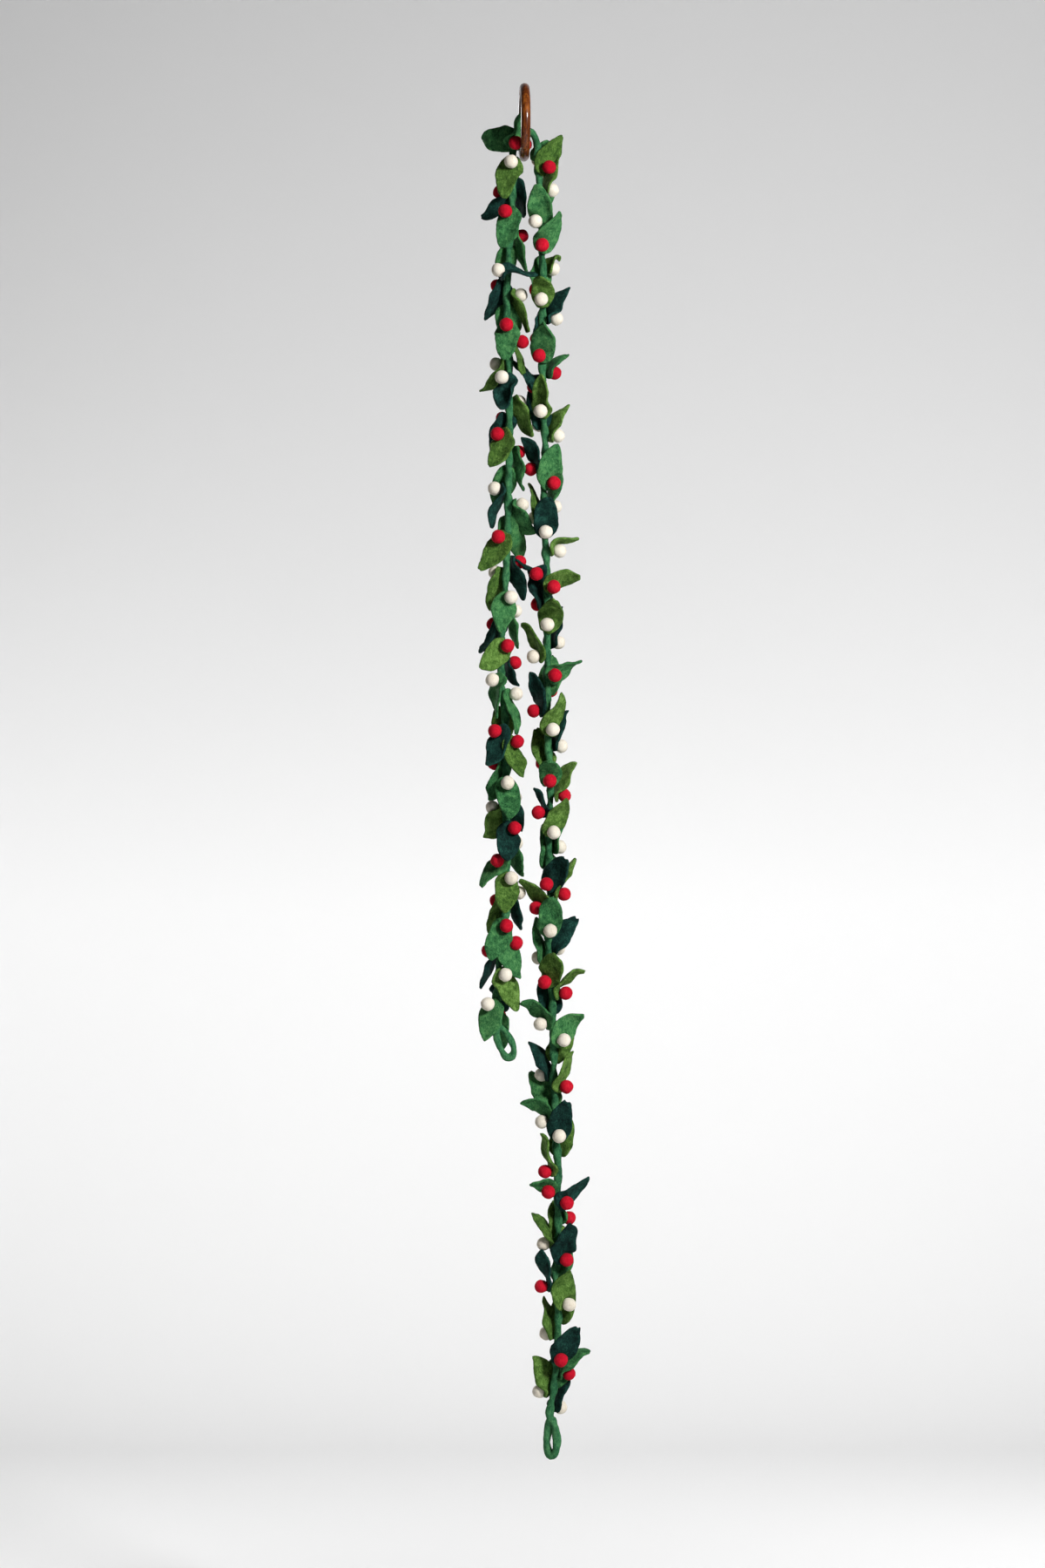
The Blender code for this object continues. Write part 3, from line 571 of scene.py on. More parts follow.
@dataclass
class FeltMesh:
    """Finishes felt pieces from a bmesh.

    Edges and faces are sorted along order, so that every run makes the same mesh. shift and apart
    set the noise patterns of lumps and folds off from each other.
    """

    order: Vector = field(default_factory=lambda: Vector((3.7, 1.3, 8.9)))
    shift: Vector = field(default_factory=lambda: Vector((3.1, 1.7, 9.4)))
    apart: float = 37.3
    fibre_half: float = 0.035 * MM
    # fibre_painted_highlight: how much lighter the loose fibres are painted than their felt, a painted
    # highlight on the fuzz
    fibre_painted_highlight: float = 0.4
    fibre_lift: float = 0.75
    fibre_spread: tuple[float, float] = (0.5, 1.5)

    def finished(self, name: str, bm: BMesh, slots: list[Slot], levels: int = 0) -> Piece:
        """Close a bmesh into a smooth object.

        Args:
            name: the piece's name.
            bm: its mesh, freed here.
            slots: its finishes in order.
            levels: rounds of smooth subdivision.

        Returns:
            The new object with its final mesh.
        """
        bmesh.ops.recalc_face_normals(bm, faces=bm.faces)
        for parts in (bm.edges, bm.faces):
            parts.sort(key=lambda part: sum(vertex.co.dot(self.order) for vertex in part.verts))
        data = bpy.data.meshes.new(name)
        bm.to_mesh(data)
        bm.free()
        made = placed(name, data)
        for slot in slots:
            data.materials.append(MATERIALS[slot])
        if levels:
            rounder = made.modifiers.new("round", "SUBSURF")
            rounder.levels = levels
            rounder.render_levels = levels
            smooth = evaluated(made)
            made.modifiers.remove(rounder)
            made.data = smooth
            smooth.name = name
            bpy.data.meshes.remove(data)
        made.data.shade_smooth()
        return made

    def roughen(self, made: Piece, lumps: tuple[Lump, ...]) -> None:
        """Push the surface in and out, as rolled wool is.

        Args:
            made: the piece.
            lumps: the coarse and fine lumps.
        """
        data = made.data
        normals = [vertex.normal.copy() for vertex in data.vertices]
        for vertex, normal in zip(data.vertices, normals):
            push = sum(lump.depth * noise.noise(vertex.co / lump.width + self.shift) for lump in lumps)
            vertex.co += normal * push

    def crumple(self, made: Piece, folds: tuple[Lump, ...]) -> None:
        """Bend soft felt about without changing its thickness.

        Args:
            made: the piece.
            folds: the wide and narrow folds.
        """
        for vertex in made.data.vertices:
            place = vertex.co.copy()
            for fold in folds:
                vertex.co += self.drift(place / fold.width + self.shift) * fold.depth

    def drift(self, place: Vector) -> Vector:
        """A smooth random direction at a place, the same in each run."""
        return Vector([noise.noise(place + Vector((self.apart * axis, 0, 0))) for axis in range(3)])

    def fibres(self, made: Piece, fuzz: Fuzz, seed: str) -> None:
        """Stand fine loose fibres on a felt piece, painted lighter than it as a painted highlight.

        Args:
            made: the piece, which gains the fibres.
            fuzz: how many and how long.
            seed: names the piece's own random draw.
        """
        draw = random.Random(seed)
        data = made.data
        data.calc_loop_triangles()
        triangles = list(data.loop_triangles)
        areas = np.array([triangle.area for triangle in triangles])
        count = int(areas.sum() * CM_IN_A_METRE ** 2 * fuzz.density)
        corners_at, orders = self.one_fibre()
        bm = bmesh.new()
        bm.from_mesh(data)
        tones = bm.verts.layers.float[TONE]
        for triangle in draw.choices(triangles, weights=areas.tolist(), k=count):
            a, b = draw.random(), draw.random()
            if a + b > 1:
                a, b = 1 - a, 1 - b
            corners = [data.vertices[index].co for index in triangle.vertices]
            foot = corners[0] * (1 - a - b) + corners[1] * a + corners[2] * b
            loose = Vector((draw.gauss(0, 1), draw.gauss(0, 1), draw.gauss(0, 1))).normalized()
            way = (triangle.normal * self.fibre_lift + loose).normalized()
            turned = way.to_track_quat("Z", "X").to_matrix().to_4x4()
            stood = Matrix.Translation(foot - way * self.fibre_half) @ turned
            stood = stood @ Matrix.Diagonal((1, 1, fuzz.length * draw.uniform(*self.fibre_spread), 1))
            points = [bm.verts.new(stood @ corner) for corner in corners_at]
            tone = data.attributes[TONE].data[triangle.vertices[0]].value
            for point in points:
                # painted highlight: each fibre takes a lighter tone than the felt it stands on
                point[tones] = tone + self.fibre_painted_highlight
            for order in orders:
                face = bm.faces.new([points[index] for index in order])
                face.material_index = triangle.material_index
                face.smooth = True
        bm.to_mesh(data)
        bm.free()

    def one_fibre(self) -> tuple[list[Vector], list[list[int]]]:
        """Shape one fibre a metre long on its foot, to be copied at its real length.

        Returns:
            Its corners, and the corners of each of its faces.
        """
        bm = bmesh.new()
        bmesh.ops.create_cone(bm, cap_ends=True, segments=3, radius1=self.fibre_half, radius2=0,
                              depth=1, matrix=Matrix.Translation((0, 0, 0.5)))
        bm.verts.index_update()
        corners_at = [vertex.co.copy() for vertex in bm.verts]
        orders = [[vertex.index for vertex in face.verts] for face in bm.faces]
        bm.free()
        return corners_at, orders


@dataclass
class Wiring:
    """Adds and joins nodes of one tree."""

    tree: NodeTree

    def add(self, kind: str, **values: object) -> Node:
        """A node with its options and inputs set.

        Args:
            kind: the node's type, without the ShaderNode that it starts with.
            values: options, or values and sockets for inputs, by name with spaces as underscores.

        Returns:
            The node.
        """
        node = self.tree.nodes.new("ShaderNode" + kind)
        for name, value in values.items():
            if hasattr(node, name):
                setattr(node, name, value)
            else:
                self.feed(node.inputs[name.replace("_", " ")], value)
        return node

    def feed(self, socket: Socket, value: object) -> None:
        """Join an input to a socket, or set it to a value.

        Args:
            socket: the input.
            value: an output socket, a number or a colour.
        """
        if isinstance(value, Socket):
            self.tree.links.new(value, socket)
        else:
            socket.default_value = value

    def math(self, kind: str, first: object, second: object) -> Socket:
        """A math node on two sockets or numbers.

        Args:
            kind: the operation.
            first: a socket or a number.
            second: a socket or a number.

        Returns:
            The result's socket.
        """
        node = self.add("Math", operation=kind)
        for socket, value in zip(node.inputs, (first, second)):
            self.feed(socket, value)
        return node.outputs[0]

    def weigh(self, first: Socket, share: float, second: Socket, other: float) -> Socket:
        """The sum of two sockets, each times its own share."""
        return self.math("ADD", self.math("MULTIPLY", first, share), self.math("MULTIPLY", second, other))

    def mix(self, kind: str, factor: object, first: object, second: object) -> Socket:
        """A mix of two vectors or colours.

        Args:
            kind: VECTOR or RGBA; sockets of either share their names, so they go by number.
            factor: the mix from 0 to 1.
            first: what there is at 0.
            second: what there is at 1.

        Returns:
            The result's socket.
        """
        node = self.add("Mix", data_type=kind, Factor=factor)
        low, high, result = MIX_SOCKETS[kind]
        self.feed(node.inputs[low], first)
        self.feed(node.inputs[high], second)
        return node.outputs[result]


@dataclass
class Effect:
    """A shader node group that turns three colours into a mottle and its height."""

    name: str
    numbers: dict[str, float] = field(default_factory=dict)

    def begin(self) -> tuple[Wiring, Node]:
        """Make the group and its sockets.

        Returns:
            Its wiring and its input node.
        """
        tree = bpy.data.node_groups.new(self.name, "ShaderNodeTree")
        rows = [(label, "INPUT", "Color") for label in ("Deep", "Mid", "Light")]
        rows += [(label, "INPUT", "Float") for label in self.numbers]
        rows += [("Color", "OUTPUT", "Color"), ("Height", "OUTPUT", "Float")]
        for label, way, kind in rows:
            socket = tree.interface.new_socket(label, in_out=way, socket_type="NodeSocket" + kind)
            if label in self.numbers:
                socket.default_value = self.numbers[label]
        return Wiring(tree), tree.nodes.new("NodeGroupInput")

    def end(self, wires: Wiring, given: Node, mottle: Socket, height: Socket) -> NodeTree:
        """Colour the mottle and put it out with its height.

        Args:
            wires: the group's wiring.
            given: its input node.
            mottle: from -1 where deep, by 0, to 1 where light.
            height: the surface's height.

        Returns:
            The group.
        """
        result = wires.tree.nodes.new("NodeGroupOutput")
        lighter = wires.add("Clamp", Value=mottle)
        darker = wires.add("Clamp", Value=wires.math("MULTIPLY", mottle, -1.0))
        colour = wires.mix("RGBA", lighter.outputs[0], given.outputs["Mid"], given.outputs["Light"])
        colour = wires.mix("RGBA", darker.outputs[0], colour, given.outputs["Deep"])
        wires.feed(result.inputs["Color"], colour)
        wires.feed(result.inputs["Height"], height)
        return wires.tree


@dataclass
class Wool(Effect):
    """Mottled wool: blotches, crossing fibre streaks and fine fuzz, with their height."""

    name: str = "wool felt"
    numbers: dict[str, float] = field(default_factory=lambda: {"Tone": 0.0, "Contrast": 1.0})
    warp: float = 0.006
    combed: Triple = (1.0, 1.0, 0.14)
    turns: tuple[Triple, ...] = ((0.5, 0.9, 0.2), (-0.7, 0.3, 1.2), (1.3, -0.6, 0.7))
    blotch_middle: float = 0.5
    streak_middle: float = 0.6
    strength: float = 3.2
    tone_strength: float = 0.3
    streak_height: float = 0.7
    fuzz_height: float = 0.3

    def build(self) -> NodeTree:
        """Build the group.

        Returns:
            The finished node group.
        """
        wires, given = self.begin()
        place = wires.add("TexCoord").outputs["Object"]
        swirl = wires.add("TexNoise", Vector=place, Scale=260.0, Detail=2.0)
        warped = wires.mix("VECTOR", self.warp, place, swirl.outputs["Color"])
        blotch = wires.add("TexNoise", Vector=warped, Scale=150.0, Detail=6.0, Roughness=0.72)
        streaks = []
        for turn in self.turns:
            lay = wires.add("Mapping", Vector=warped, Rotation=turn, Scale=self.combed)
            streak = wires.add("TexNoise", Vector=lay.outputs["Vector"], Scale=900.0, Detail=3.0)
            streaks.append(streak.outputs["Fac"])
        fibre = wires.math("MAXIMUM", wires.math("MAXIMUM", streaks[0], streaks[1]), streaks[2])
        fuzz = wires.add("TexNoise", Vector=place, Scale=3200.0, Detail=2.0)
        blotchy = wires.math("SUBTRACT", blotch.outputs["Fac"], self.blotch_middle)
        streaky = wires.math("SUBTRACT", fibre, self.streak_middle)
        mottle = wires.weigh(blotchy, self.strength, streaky, self.strength)
        mottle = wires.math("MULTIPLY", mottle, given.outputs["Contrast"])
        toned = wires.math("MULTIPLY", given.outputs["Tone"], self.tone_strength)
        height = wires.weigh(fibre, self.streak_height, fuzz.outputs["Fac"], self.fuzz_height)
        return self.end(wires, given, wires.math("ADD", mottle, toned), height)


@dataclass
class Grain(Effect):
    """Straight wood grain, with fine pores as its height."""

    name: str = "wood grain"
    lay: Triple = (0.12, 0.05, 0.3)
    drawn: Triple = (1.0, 1.0, 0.07)
    band_middle: float = 0.47
    band_strength: float = 4.0
    cloud_middle: float = 0.5
    cloud_strength: float = 2.4

    def build(self) -> NodeTree:
        """Build the group.

        Returns:
            The finished node group.
        """
        wires, given = self.begin()
        place = wires.add("TexCoord").outputs["Object"]
        drawn = wires.add("Mapping", Vector=place, Rotation=self.lay, Scale=self.drawn).outputs["Vector"]
        bands = wires.add("TexNoise", Vector=drawn, Scale=520.0, Detail=5.0, Roughness=0.6, Distortion=0.4)
        pores = wires.add("TexNoise", Vector=drawn, Scale=2600.0, Detail=2.0)
        clouds = wires.add("TexNoise", Vector=place, Scale=45.0, Detail=2.0)
        banded = wires.math("SUBTRACT", bands.outputs["Fac"], self.band_middle)
        clouded = wires.math("SUBTRACT", clouds.outputs["Fac"], self.cloud_middle)
        figure = wires.weigh(banded, self.band_strength, clouded, self.cloud_strength)
        return self.end(wires, given, figure, pores.outputs["Fac"])


@dataclass(frozen=True)
class Finish:
    """A surface whose colour and relief an effect makes from three linear colours."""

    name: str
    deep: Colour
    mid: Colour
    light: Colour
    bump: float = 0.5
    relief: float = 0.6 * MM

    def dressed(self, group: NodeTree, surface: dict[str, object]) -> Material:
        """Build a material round a node group.

        Args:
            group: the effect's node group.
            surface: values for the shader's own sockets.

        Returns:
            The material, with the group's node named effect.
        """
        made = bpy.data.materials.new(self.name)
        made.use_nodes = True
        made.diffuse_color = self.mid
        wires = Wiring(made.node_tree)
        shader = made.node_tree.nodes["Principled BSDF"]
        effect = wires.add("Group", name="effect", node_tree=group, Deep=self.deep, Mid=self.mid,
                           Light=self.light)
        relief = wires.add("Bump", Strength=self.bump, Distance=self.relief, Height=effect.outputs["Height"])
        wires.feed(shader.inputs["Base Color"], effect.outputs["Color"])
        wires.feed(shader.inputs["Normal"], relief.outputs["Normal"])
        for label, value in surface.items():
            shader.inputs[label].default_value = value
        return made


@dataclass(frozen=True)
class Felt(Finish):
    """One colour of wool felt."""

    contrast: float = 1.5
    sheen: float = 0.08

    def material(self, group: NodeTree) -> Material:
        """Build the felt's material.

        Args:
            group: the wool felt node group.

        Returns:
            The material.
        """
        made = self.dressed(group, {
            "Roughness": 0.95, "Specular IOR Level": 0.12, "Sheen Weight": self.sheen,
            "Sheen Roughness": 0.45, "Sheen Tint": self.light,
        })
        wires = Wiring(made.node_tree)
        wool = made.node_tree.nodes["effect"]
        tone = wires.add("Attribute", attribute_name=TONE)
        wires.feed(wool.inputs["Contrast"], self.contrast)
        wires.feed(wool.inputs["Tone"], tone.outputs["Fac"])
        return made


@dataclass(frozen=True)
class Lacquer(Finish):
    """Dark turned wood under a clear gloss."""

    name: str = "lacquered wood"
    deep: Colour = (0.016, 0.003, 0.0008, 1)
    mid: Colour = (0.095, 0.019, 0.002, 1)
    light: Colour = (0.300, 0.085, 0.010, 1)
    bump: float = 0.12
    relief: float = 0.2 * MM

    def material(self) -> Material:
        """Build the ring's material."""
        return self.dressed(Grain().build(), {
            "Roughness": 0.42, "Specular IOR Level": 0.15, "Coat Weight": 0.5, "Coat Roughness": 0.08,
        })


FELTS = {
    KELLY: Felt("kelly felt", (0.010, 0.055, 0.018, 1), (0.038, 0.155, 0.050, 1), (0.095, 0.260, 0.085, 1)),
    OLIVE: Felt("olive felt", (0.022, 0.058, 0.010, 1), (0.068, 0.148, 0.025, 1), (0.165, 0.300, 0.070, 1)),
    TEAL: Felt("teal felt", (0.0015, 0.009, 0.008, 1), (0.0048, 0.030, 0.024, 1), (0.016, 0.074, 0.054, 1)),
    RED: Felt("red felt", (0.230, 0.002, 0.010, 1), (0.480, 0.005, 0.020, 1), (0.660, 0.030, 0.048, 1),
              contrast=0.6, sheen=0.1),
    WHITE: Felt("white felt", (0.520, 0.440, 0.320, 1), (0.760, 0.700, 0.590, 1), (0.860, 0.820, 0.740, 1),
                contrast=0.6, sheen=0.05),
    STEM: Felt("stem felt", (0.010, 0.058, 0.026, 1), (0.032, 0.140, 0.056, 1), (0.075, 0.230, 0.090, 1)),
}
MATERIALS: dict[Slot, Material] = {}


def riding(made: Piece, slot: Slot, *nodes: str) -> Piece:
    """Let a piece ride the garland's body and stand for its nodes.

    Args:
        made: the piece.
        slot: not used.
        nodes: the nodes that it stands for.

    Returns:
        The piece.
    """
    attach(made, BODY)
    if nodes:
        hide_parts(*nodes)
    LOG.info("%s: %d faces", made.name, len(made.data.polygons))
    return made


@dataclass
class FeltCord:
    """A rolled felt cord with lumps, a slow twist and a tone that wanders along it."""

    name: str
    line: list[Vector]
    thick: float
    closed: bool = False
    sides: int = 16
    step: float = 2.6 * MM
    ridge: float = 0.55 * MM
    ridges: int = 2
    pitch: float = 26 * MM
    lumps: tuple[Lump, ...] = (Lump(1.5 * MM, 11 * MM), Lump(0.7 * MM, 5 * MM), Lump(0.25 * MM, 2.2 * MM))
    lumpy: float = 1
    # tone lifts the whole cord's colour; the loops use it for painted light
    tone: float = 0
    tone_swing: float = 1.6
    tone_width: float = 30 * MM

    def build(self) -> Piece:
        """Build the cord's mesh along its line.

        Returns:
            The cord or loop.
        """
        points = evenly(self.line, self.step, self.closed)
        data = bpy.data.curves.new(f"{self.name} line", "CURVE")
        data.dimensions = "3D"
        data.bevel_depth = self.thick / 2
        # a bevel of resolution n has 2n + 4 sides
        data.bevel_resolution = self.sides // 2 - 2
        data.use_fill_caps = not self.closed
        data.twist_mode = "MINIMUM"
        spline = data.splines.new("POLY")
        spline.points.add(len(points) - 1)
        for point, target in zip(spline.points, points):
            point.co = (*target, 1)
        spline.use_cyclic_u = self.closed
        rod = placed(f"{self.name} line", data)
        bm = bmesh.new()
        bm.from_mesh(evaluated(rod))
        bpy.data.objects.remove(rod)
        bmesh.ops.remove_doubles(bm, verts=bm.verts, dist=SAME_SPOT)
        self.shape(bm, points)
        tones = bm.verts.layers.float.new(TONE)
        for vertex in bm.verts:
            vertex[tones] = self.tone + self.tone_swing * noise.noise(vertex.co / self.tone_width)
        return FeltMesh().finished(self.name, bm, [STEM])

    def shape(self, bm: BMesh, points: list[Vector]) -> None:
        """Raise the twist's ridges and the lumps.

        Args:
            bm: the tube's mesh.
            points: the line that it follows.
        """
        line = np.array(points)
        walked = np.concatenate([[0], np.cumsum(np.linalg.norm(np.diff(line, axis=0), axis=1))])
        for vertex in bm.verts:
            nearest = int(np.argmin(((line - np.array(vertex.co)) ** 2).sum(axis=1)))
            low, high = max(0, nearest - 1), min(len(points) - 1, nearest + 1)
            along = (points[high] - points[low]).normalized()
            out = vertex.co - points[nearest]
            out -= along * out.dot(along)
            # the middles of the end caps stay in place
            if out.length < self.thick / 4:
                continue
            front = square_to(FRONT, along)
            angle = math.atan2(out.dot(along.cross(front)), out.dot(front))
            wound = self.ridges * angle + math.tau * walked[nearest] / self.pitch
            lump = sum(row.depth * noise.noise(vertex.co / row.width) for row in self.lumps)
            vertex.co += out.normalized() * (self.ridge * math.cos(wound) + lump * self.lumpy)


@dataclass
class Ring:
    """The turned wooden ring, nearly edge on to the viewer."""

    outer: float = 84.5 * MM
    thick: float = 10.5 * MM
    yaw: float = math.radians(2.5)
    steps: int = 120
    sides: int = 28

    def build(self) -> Piece:
        """Spin a round profile into the ring and set it in place.

        Returns:
            The ring.
        """
        bm = bmesh.new()
        middle = (self.outer - self.thick) / 2
        profile = bmesh.ops.create_circle(bm, segments=self.sides, radius=self.thick / 2,
                                          matrix=Matrix.Translation((0, middle, 0)))
        edges = list(dict.fromkeys(edge for vertex in profile["verts"] for edge in vertex.link_edges))
        bmesh.ops.spin(bm, geom=edges + profile["verts"], cent=(0, 0, 0), axis=(1, 0, 0),
                       angle=math.tau, steps=self.steps, use_merge=True)
        turned = Matrix.Rotation(self.yaw, 4, "Z")
        lowered = Matrix.Translation((0, 0, -self.outer / 2))
        bmesh.ops.transform(bm, matrix=lowered @ turned, verts=bm.verts)
        bmesh.ops.remove_doubles(bm, verts=bm.verts, dist=SAME_SPOT)
        return riding(FeltMesh().finished("turned_ring", bm, [WOOD]), WOOD, "ring")


@dataclass
class Cord:
    """The stem cord over the ring, and the loop sewn at each of its ends."""

    route: Route
    thick: float = 7.8 * MM
    left_thick: float = 7.3 * MM
    right_thick: float = 8.8 * MM
    path_step: float = 8 * MM
    loop_step: float = 2 * MM
    loop_sides: int = 14
    loop_lumpy: float = 0.5
    # painted light: how much lighter the loops are painted than the same cord on the stem
    loop_painted_lift: float = 1.1
    fuzz: Fuzz = Fuzz(7, 1.5 * MM)

    def build(self) -> None:
        stem = FeltCord("stem_cord", self.route.line, self.thick).build()
        riding(stem, STEM, "stem")
        loops = [self.loop("left", LEFT_LOOP, self.left_thick),
                 self.loop("right", RIGHT_LOOP, self.right_thick)]
        self.loose_fibres(stem)

    def loop(self, side: str, bends: list[Bend], thick: float) -> Piece:
        """Build the loop at one end of the cord, painted lighter than the stem as painted light.

        Args:
            side: the strand that it ends.
            bends: its centre line's points.
            thick: how thick its cord is.

        Returns:
            The loop.
        """
        line = smooth_line(bends, self.route.steps, closed=True)
        # the loop's felt is painted lighter than the stem, standing in for the light it catches
        made = FeltCord(f"end_loop_{side}", line, thick, closed=True, sides=self.loop_sides,
                        step=self.loop_step, lumpy=self.loop_lumpy, tone=self.loop_painted_lift).build()
        return riding(made, STEM, f"loop_{side}")

    def loose_fibres(self, stem: Piece) -> None:
        """Stand fine fibres on the cord, as a piece of their own.

        Args:
            stem: the finished cord.
        """
        data = stem.data.copy()
        data.name = "stem_fibres"
        made = placed("stem_fibres", data)
        bare = len(data.vertices)
        FeltMesh().fibres(made, self.fuzz, "stem fibres")
        bm = bmesh.new()
        bm.from_mesh(data)
        bm.verts.ensure_lookup_table()
        bmesh.ops.delete(bm, geom=bm.verts[:bare], context="VERTS")
        bm.to_mesh(data)
        bm.free()
        riding(made, STEM)


@dataclass
class SprigGroup:
    """Up to three sprigs that one CAD node stands for: their leaves and their balls.

    A leaf under small of the full size is cut from thin felt.
    """

    route: Route
    strand: Strand
    number: int
    sprigs: list[Sprig]
    felt: float = 2.9 * MM
    small: float = 0.5
    thin: float = 0.6
    across_steps: int = 6
    along_steps: int = 12
    leaf_flat: tuple[float, float] = (0.0296, 0.052)
    leaf_share: float = 0.72
    leaf_folds: tuple[Lump, ...] = (Lump(2.4 * MM, 18 * MM), Lump(0.4 * MM, 7 * MM))
    leaf_lumps: tuple[Lump, ...] = (Lump(0.4 * MM, 5 * MM), Lump(0.25 * MM, 2.2 * MM))
    leaf_fuzz: Fuzz = Fuzz(2.6, 1.7 * MM)
    ball_across: float = 15 * MM
    ball_tone: float = 0.6
    ball_lumps: tuple[Lump, ...] = (Lump(0.55 * MM, 6 * MM), Lump(0.2 * MM, 2 * MM))
    ball_fuzz: Fuzz = Fuzz(5, 1.0 * MM)

    def build(self) -> None:
        """Build the group's two pieces."""
        tag = f"{self.strand.value}_{self.number:02d}"
        blades = [Blade(self.route, self.strand, sprig) for sprig in self.sprigs]
        self.leaves(tag, blades)
        self.balls(tag, blades)

    def leaves(self, tag: str, blades: list[Blade]) -> None:
        """Build the leaves as thick felt with rounded cut edges.

        Args:
            tag: strand and number for the piece's name.
            blades: the forms of the leaves.
        """
        bm = bmesh.new()
        tones = bm.verts.layers.float.new(TONE)
        worn = list(dict.fromkeys(blade.sprig.leaf for blade in blades))
        for blade in blades:
            verts = bmesh.ops.create_grid(bm, x_segments=self.across_steps, y_segments=self.along_steps,
                                          size=1)["verts"]
            faces = list(dict.fromkeys(face for vertex in verts for face in vertex.link_faces))
            for vertex in verts:
                vertex.co = blade.point(vertex.co.x, (vertex.co.y + 1) / 2)
                vertex[tones] = blade.tone
            bmesh.ops.recalc_face_normals(bm, faces=faces)
            for face in faces:
                face.material_index = worn.index(blade.sprig.leaf)
            thick = self.felt * (1 if blade.sprig.size > self.small else self.thin)
            bmesh.ops.solidify(bm, geom=faces, thickness=thick)
        work = FeltMesh()
        made = work.finished(f"leaves_{tag}", bm, worn, levels=1)
        work.crumple(made, self.leaf_folds)
        work.roughen(made, self.leaf_lumps)
        work.fibres(made, self.leaf_fuzz, f"leaf fibres {tag}")
        riding(made, worn[0], f"sprigs_{tag}")

    def balls(self, tag: str, blades: list[Blade]) -> None:
        """Build the round felt balls over the leaves' bases.

        Args:
            tag: strand and number for the piece's name.
            blades: the forms of the leaves.
        """
        bm = bmesh.new()
        tones = bm.verts.layers.float.new(TONE)
        worn = list(dict.fromkeys(blade.sprig.ball for blade in blades))
        for blade in blades:
            centre = blade.root + blade.outward * blade.ball_height
            ball = bmesh.ops.create_icosphere(bm, subdivisions=3, radius=self.ball_across / 2,
                                              matrix=Matrix.Translation(centre))
            for vertex in ball["verts"]:
                vertex[tones] = blade.tone * self.ball_tone
                for face in vertex.link_faces:
                    face.material_index = worn.index(blade.sprig.ball)
        work = FeltMesh()
        made = work.finished(f"balls_{tag}", bm, worn)
        work.roughen(made, self.ball_lumps)
        work.fibres(made, self.ball_fuzz, f"ball fibres {tag}")
        riding(made, worn[0], f"sprigs_{tag}")


@dataclass
class Garland:
    """The whole hanging garland."""

    route: Route = field(default_factory=Route)
    sprigs_a_group: int = 3

    def build(self) -> None:
        """Make the finishes, then the cord, the ring and all the sprigs."""
        wool = Wool().build()
        for slot, felt in FELTS.items():
            MATERIALS[slot] = felt.material(wool)
        MATERIALS[WOOD] = Lacquer().material()
        Cord(self.route).build()
        Ring().build()
        for strand, rows in ((Strand.LEFT, LEFT_SPRIGS), (Strand.RIGHT, RIGHT_SPRIGS)):
            for number, start in enumerate(range(0, len(rows), self.sprigs_a_group), start=1):
                SprigGroup(self.route, strand, number, rows[start:start + self.sprigs_a_group]).build()


class Lamp(NamedTuple):
    """A round soft light: places and size in metres, power in watts, its beam in degrees."""

    name: str
    place: Triple
    target: Vector
    size: float
    power: float
    beam: float


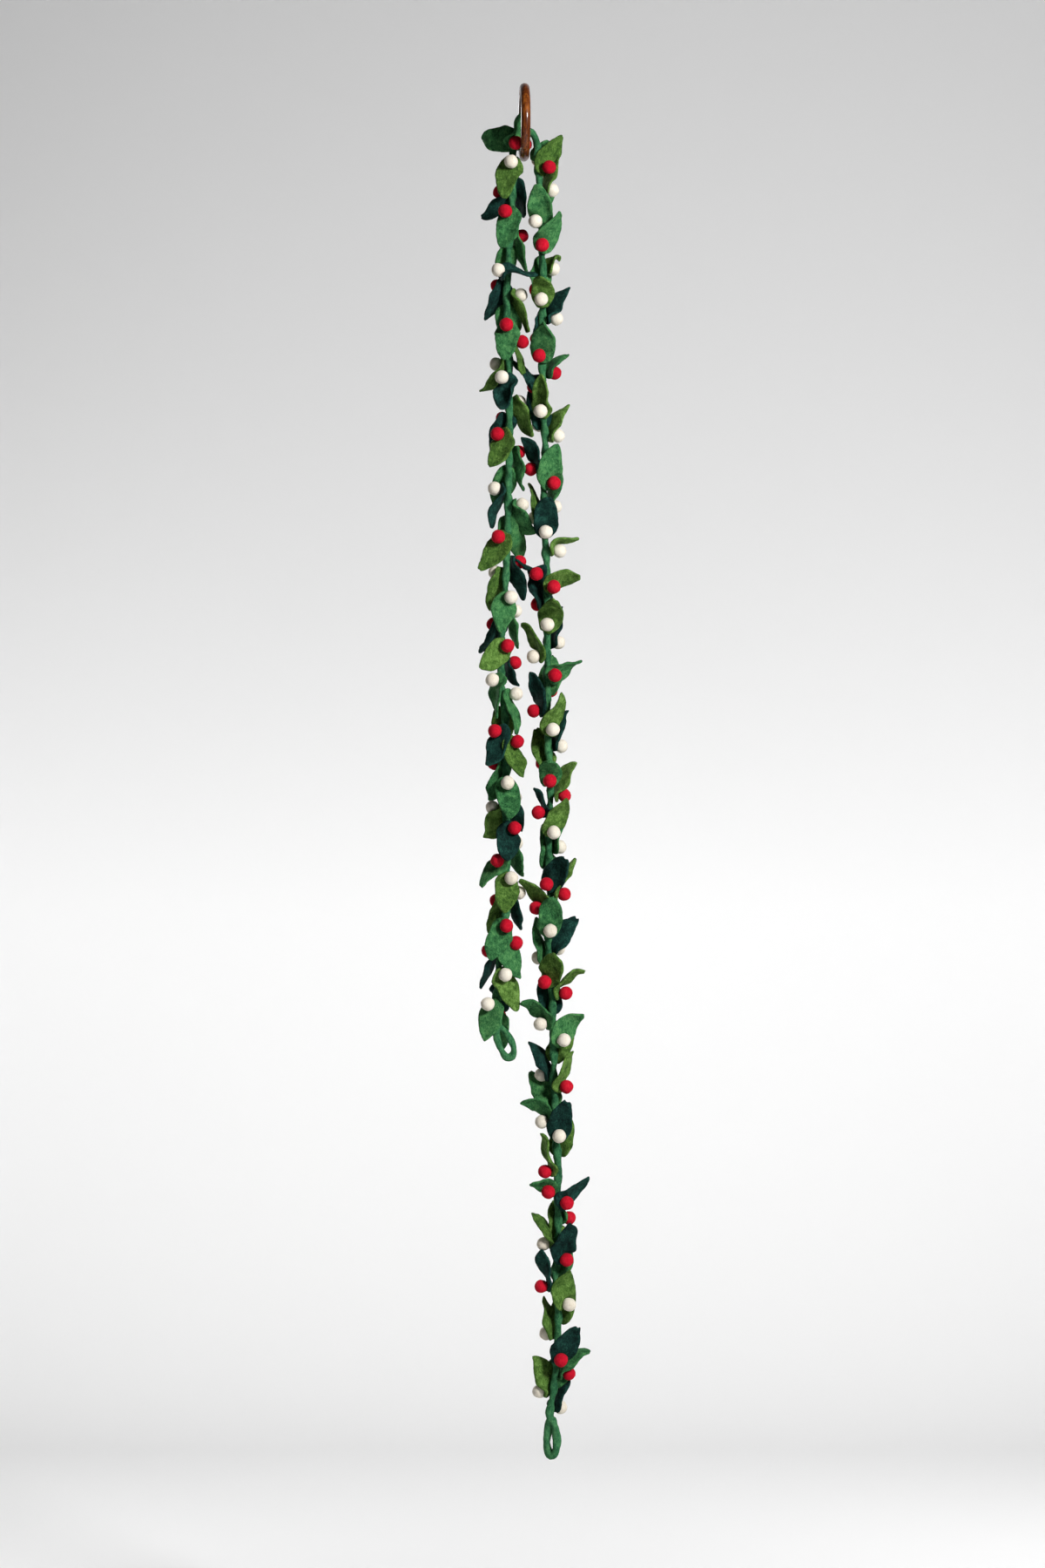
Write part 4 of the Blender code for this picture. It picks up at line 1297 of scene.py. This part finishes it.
@dataclass
class Studio:
    """Pale sweep, soft lights and the camera of the photo's view."""

    middle: Vector = field(default_factory=lambda: Vector((-0.0019, 0, -0.7638)))
    distance: float = 4.0
    frame_height: float = 1.71
    sensor: float = 36
    far: float = 30
    wall: float = 1.6
    floor: float = -1.78
    half_floor: float = 2.3
    bend: float = 0.8
    bend_steps: int = 12
    rise: float = 4
    lit_height: float = -1.3
    lit_floor: float = 0.3
    slack: float = 0.001
    white: Colour = (0.86, 0.86, 0.86, 1)
    matt: float = 0.9
    air_seen: float = 0.6
    air_light: float = 0.05

    def build(self) -> None:
        """Set up the whole studio."""
        self.camera()
        self.sweep()
        self.lights()
        self.air()

    def camera(self) -> None:
        """Aim a level camera at the middle of the frame."""
        data = bpy.data.cameras.new("camera")
        data.sensor_width = self.sensor
        data.lens = self.sensor * self.distance / self.frame_height
        data.clip_end = self.far
        made = placed("camera", data)
        made.location = self.middle + Vector((0, -self.distance, 0))
        made.rotation_euler = (math.pi / 2, 0, 0)
        bpy.context.scene.camera = made

    def beyond(self, bm: BMesh, away: float) -> list[bmesh.types.BMEdge]:
        """The sweep's edges that lie at a distance or beyond."""
        return [edge for edge in bm.edges if all(vertex.co.y > away - self.slack for vertex in edge.verts)]

    def sweep(self) -> None:
        """Build the pale floor that rises into the wall behind."""
        bm = bmesh.new()
        bmesh.ops.create_grid(bm, x_segments=1, y_segments=1, size=self.half_floor)
        bmesh.ops.translate(bm, verts=bm.verts, vec=(0, self.wall - self.half_floor, self.floor))
        back = self.beyond(bm, self.wall)
        bmesh.ops.spin(bm, geom=back + [v for e in back for v in e.verts], axis=(1, 0, 0),
                       cent=(0, self.wall, self.floor + self.bend), angle=math.pi / 2, steps=self.bend_steps)
        raised = bmesh.ops.extrude_edge_only(bm, edges=self.beyond(bm, self.wall + self.bend))
        verts = [item for item in raised["geom"] if isinstance(item, bmesh.types.BMVert)]
        bmesh.ops.translate(bm, verts=verts, vec=(0, 0, self.rise))
        bmesh.ops.recalc_face_normals(bm, faces=bm.faces)
        bmesh.ops.reverse_faces(bm, faces=bm.faces)
        data = bpy.data.meshes.new("sweep")
        bm.to_mesh(data)
        bm.free()
        data.shade_smooth()
        data.materials.append(self.paper())
        placed("sweep", data)

    def paper(self) -> Material:
        """Make the matt white paper, clear from behind so that the garland shows from there.

        Returns:
            The paper's material.
        """
        paper = bpy.data.materials.new("studio paper")
        paper.use_nodes = True
        wires = Wiring(paper.node_tree)
        nodes = paper.node_tree.nodes
        shader = nodes["Principled BSDF"]
        wires.feed(shader.inputs["Base Color"], self.white)
        wires.feed(shader.inputs["Roughness"], self.matt)
        either = wires.add("MixShader", Fac=wires.add("NewGeometry").outputs["Backfacing"])
        wires.feed(either.inputs[1], shader.outputs["BSDF"])
        wires.feed(either.inputs[2], wires.add("BsdfTransparent").outputs["BSDF"])
        wires.feed(nodes["Material Output"].inputs["Surface"], either.outputs["Shader"])
        return paper

    def lights(self) -> None:
        """Hang the soft lights."""
        wall = Vector((0, self.wall + self.bend, self.lit_height))
        floor = Vector((0, self.wall - self.lit_floor, self.floor))
        rows = [
            Lamp("key", (1.7, -2.2, 0.5), self.middle, size=0.7, power=118.0, beam=180),
            Lamp("fill", (-2.0, -2.6, -1.2), self.middle, size=1.6, power=1.8, beam=180),
            Lamp("wall left", (-2.2, 0.9, -1.7), wall, size=1.2, power=13.8, beam=100),
            Lamp("wall right", (2.2, 0.9, -1.7), wall, size=1.2, power=10.6, beam=100),
            Lamp("back", (-1.6, 2.0, 0.1), self.middle, size=1.0, power=4.5, beam=60),
            Lamp("floor left", (-1.4, 0.3, -0.9), floor, size=0.8, power=2.8, beam=80),
            Lamp("floor right", (1.4, 0.3, -0.9), floor, size=0.8, power=2.8, beam=80),
        ]
        for lamp in rows:
            data = bpy.data.lights.new(lamp.name, "AREA")
            data.shape = "DISK"
            data.size = lamp.size
            data.energy = lamp.power
            data.spread = math.radians(lamp.beam)
            made = placed(lamp.name, data)
            made.location = lamp.place
            made.rotation_euler = (lamp.target - made.location).to_track_quat("-Z", "Y").to_euler()

    def air(self) -> None:
        """Set the pale surroundings: bright to the camera, faint as a light."""
        world = bpy.data.worlds.new("studio air")
        world.use_nodes = True
        wires = Wiring(world.node_tree)
        background = world.node_tree.nodes["Background"]
        wires.feed(background.inputs["Color"], (1, 1, 1, 1))
        seen = wires.math("MULTIPLY", wires.add("LightPath").outputs["Is Camera Ray"], self.air_seen)
        wires.feed(background.inputs["Strength"], wires.math("ADD", seen, self.air_light))
        bpy.context.scene.world = world
        bpy.context.scene.view_settings.view_transform = "Standard"


def main() -> None:
    """Build the studio and the garland."""
    logging.basicConfig(level=logging.INFO, format="%(message)s")
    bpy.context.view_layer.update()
    Studio().build()
    Garland().build()


if __name__ == "__main__":
    main()
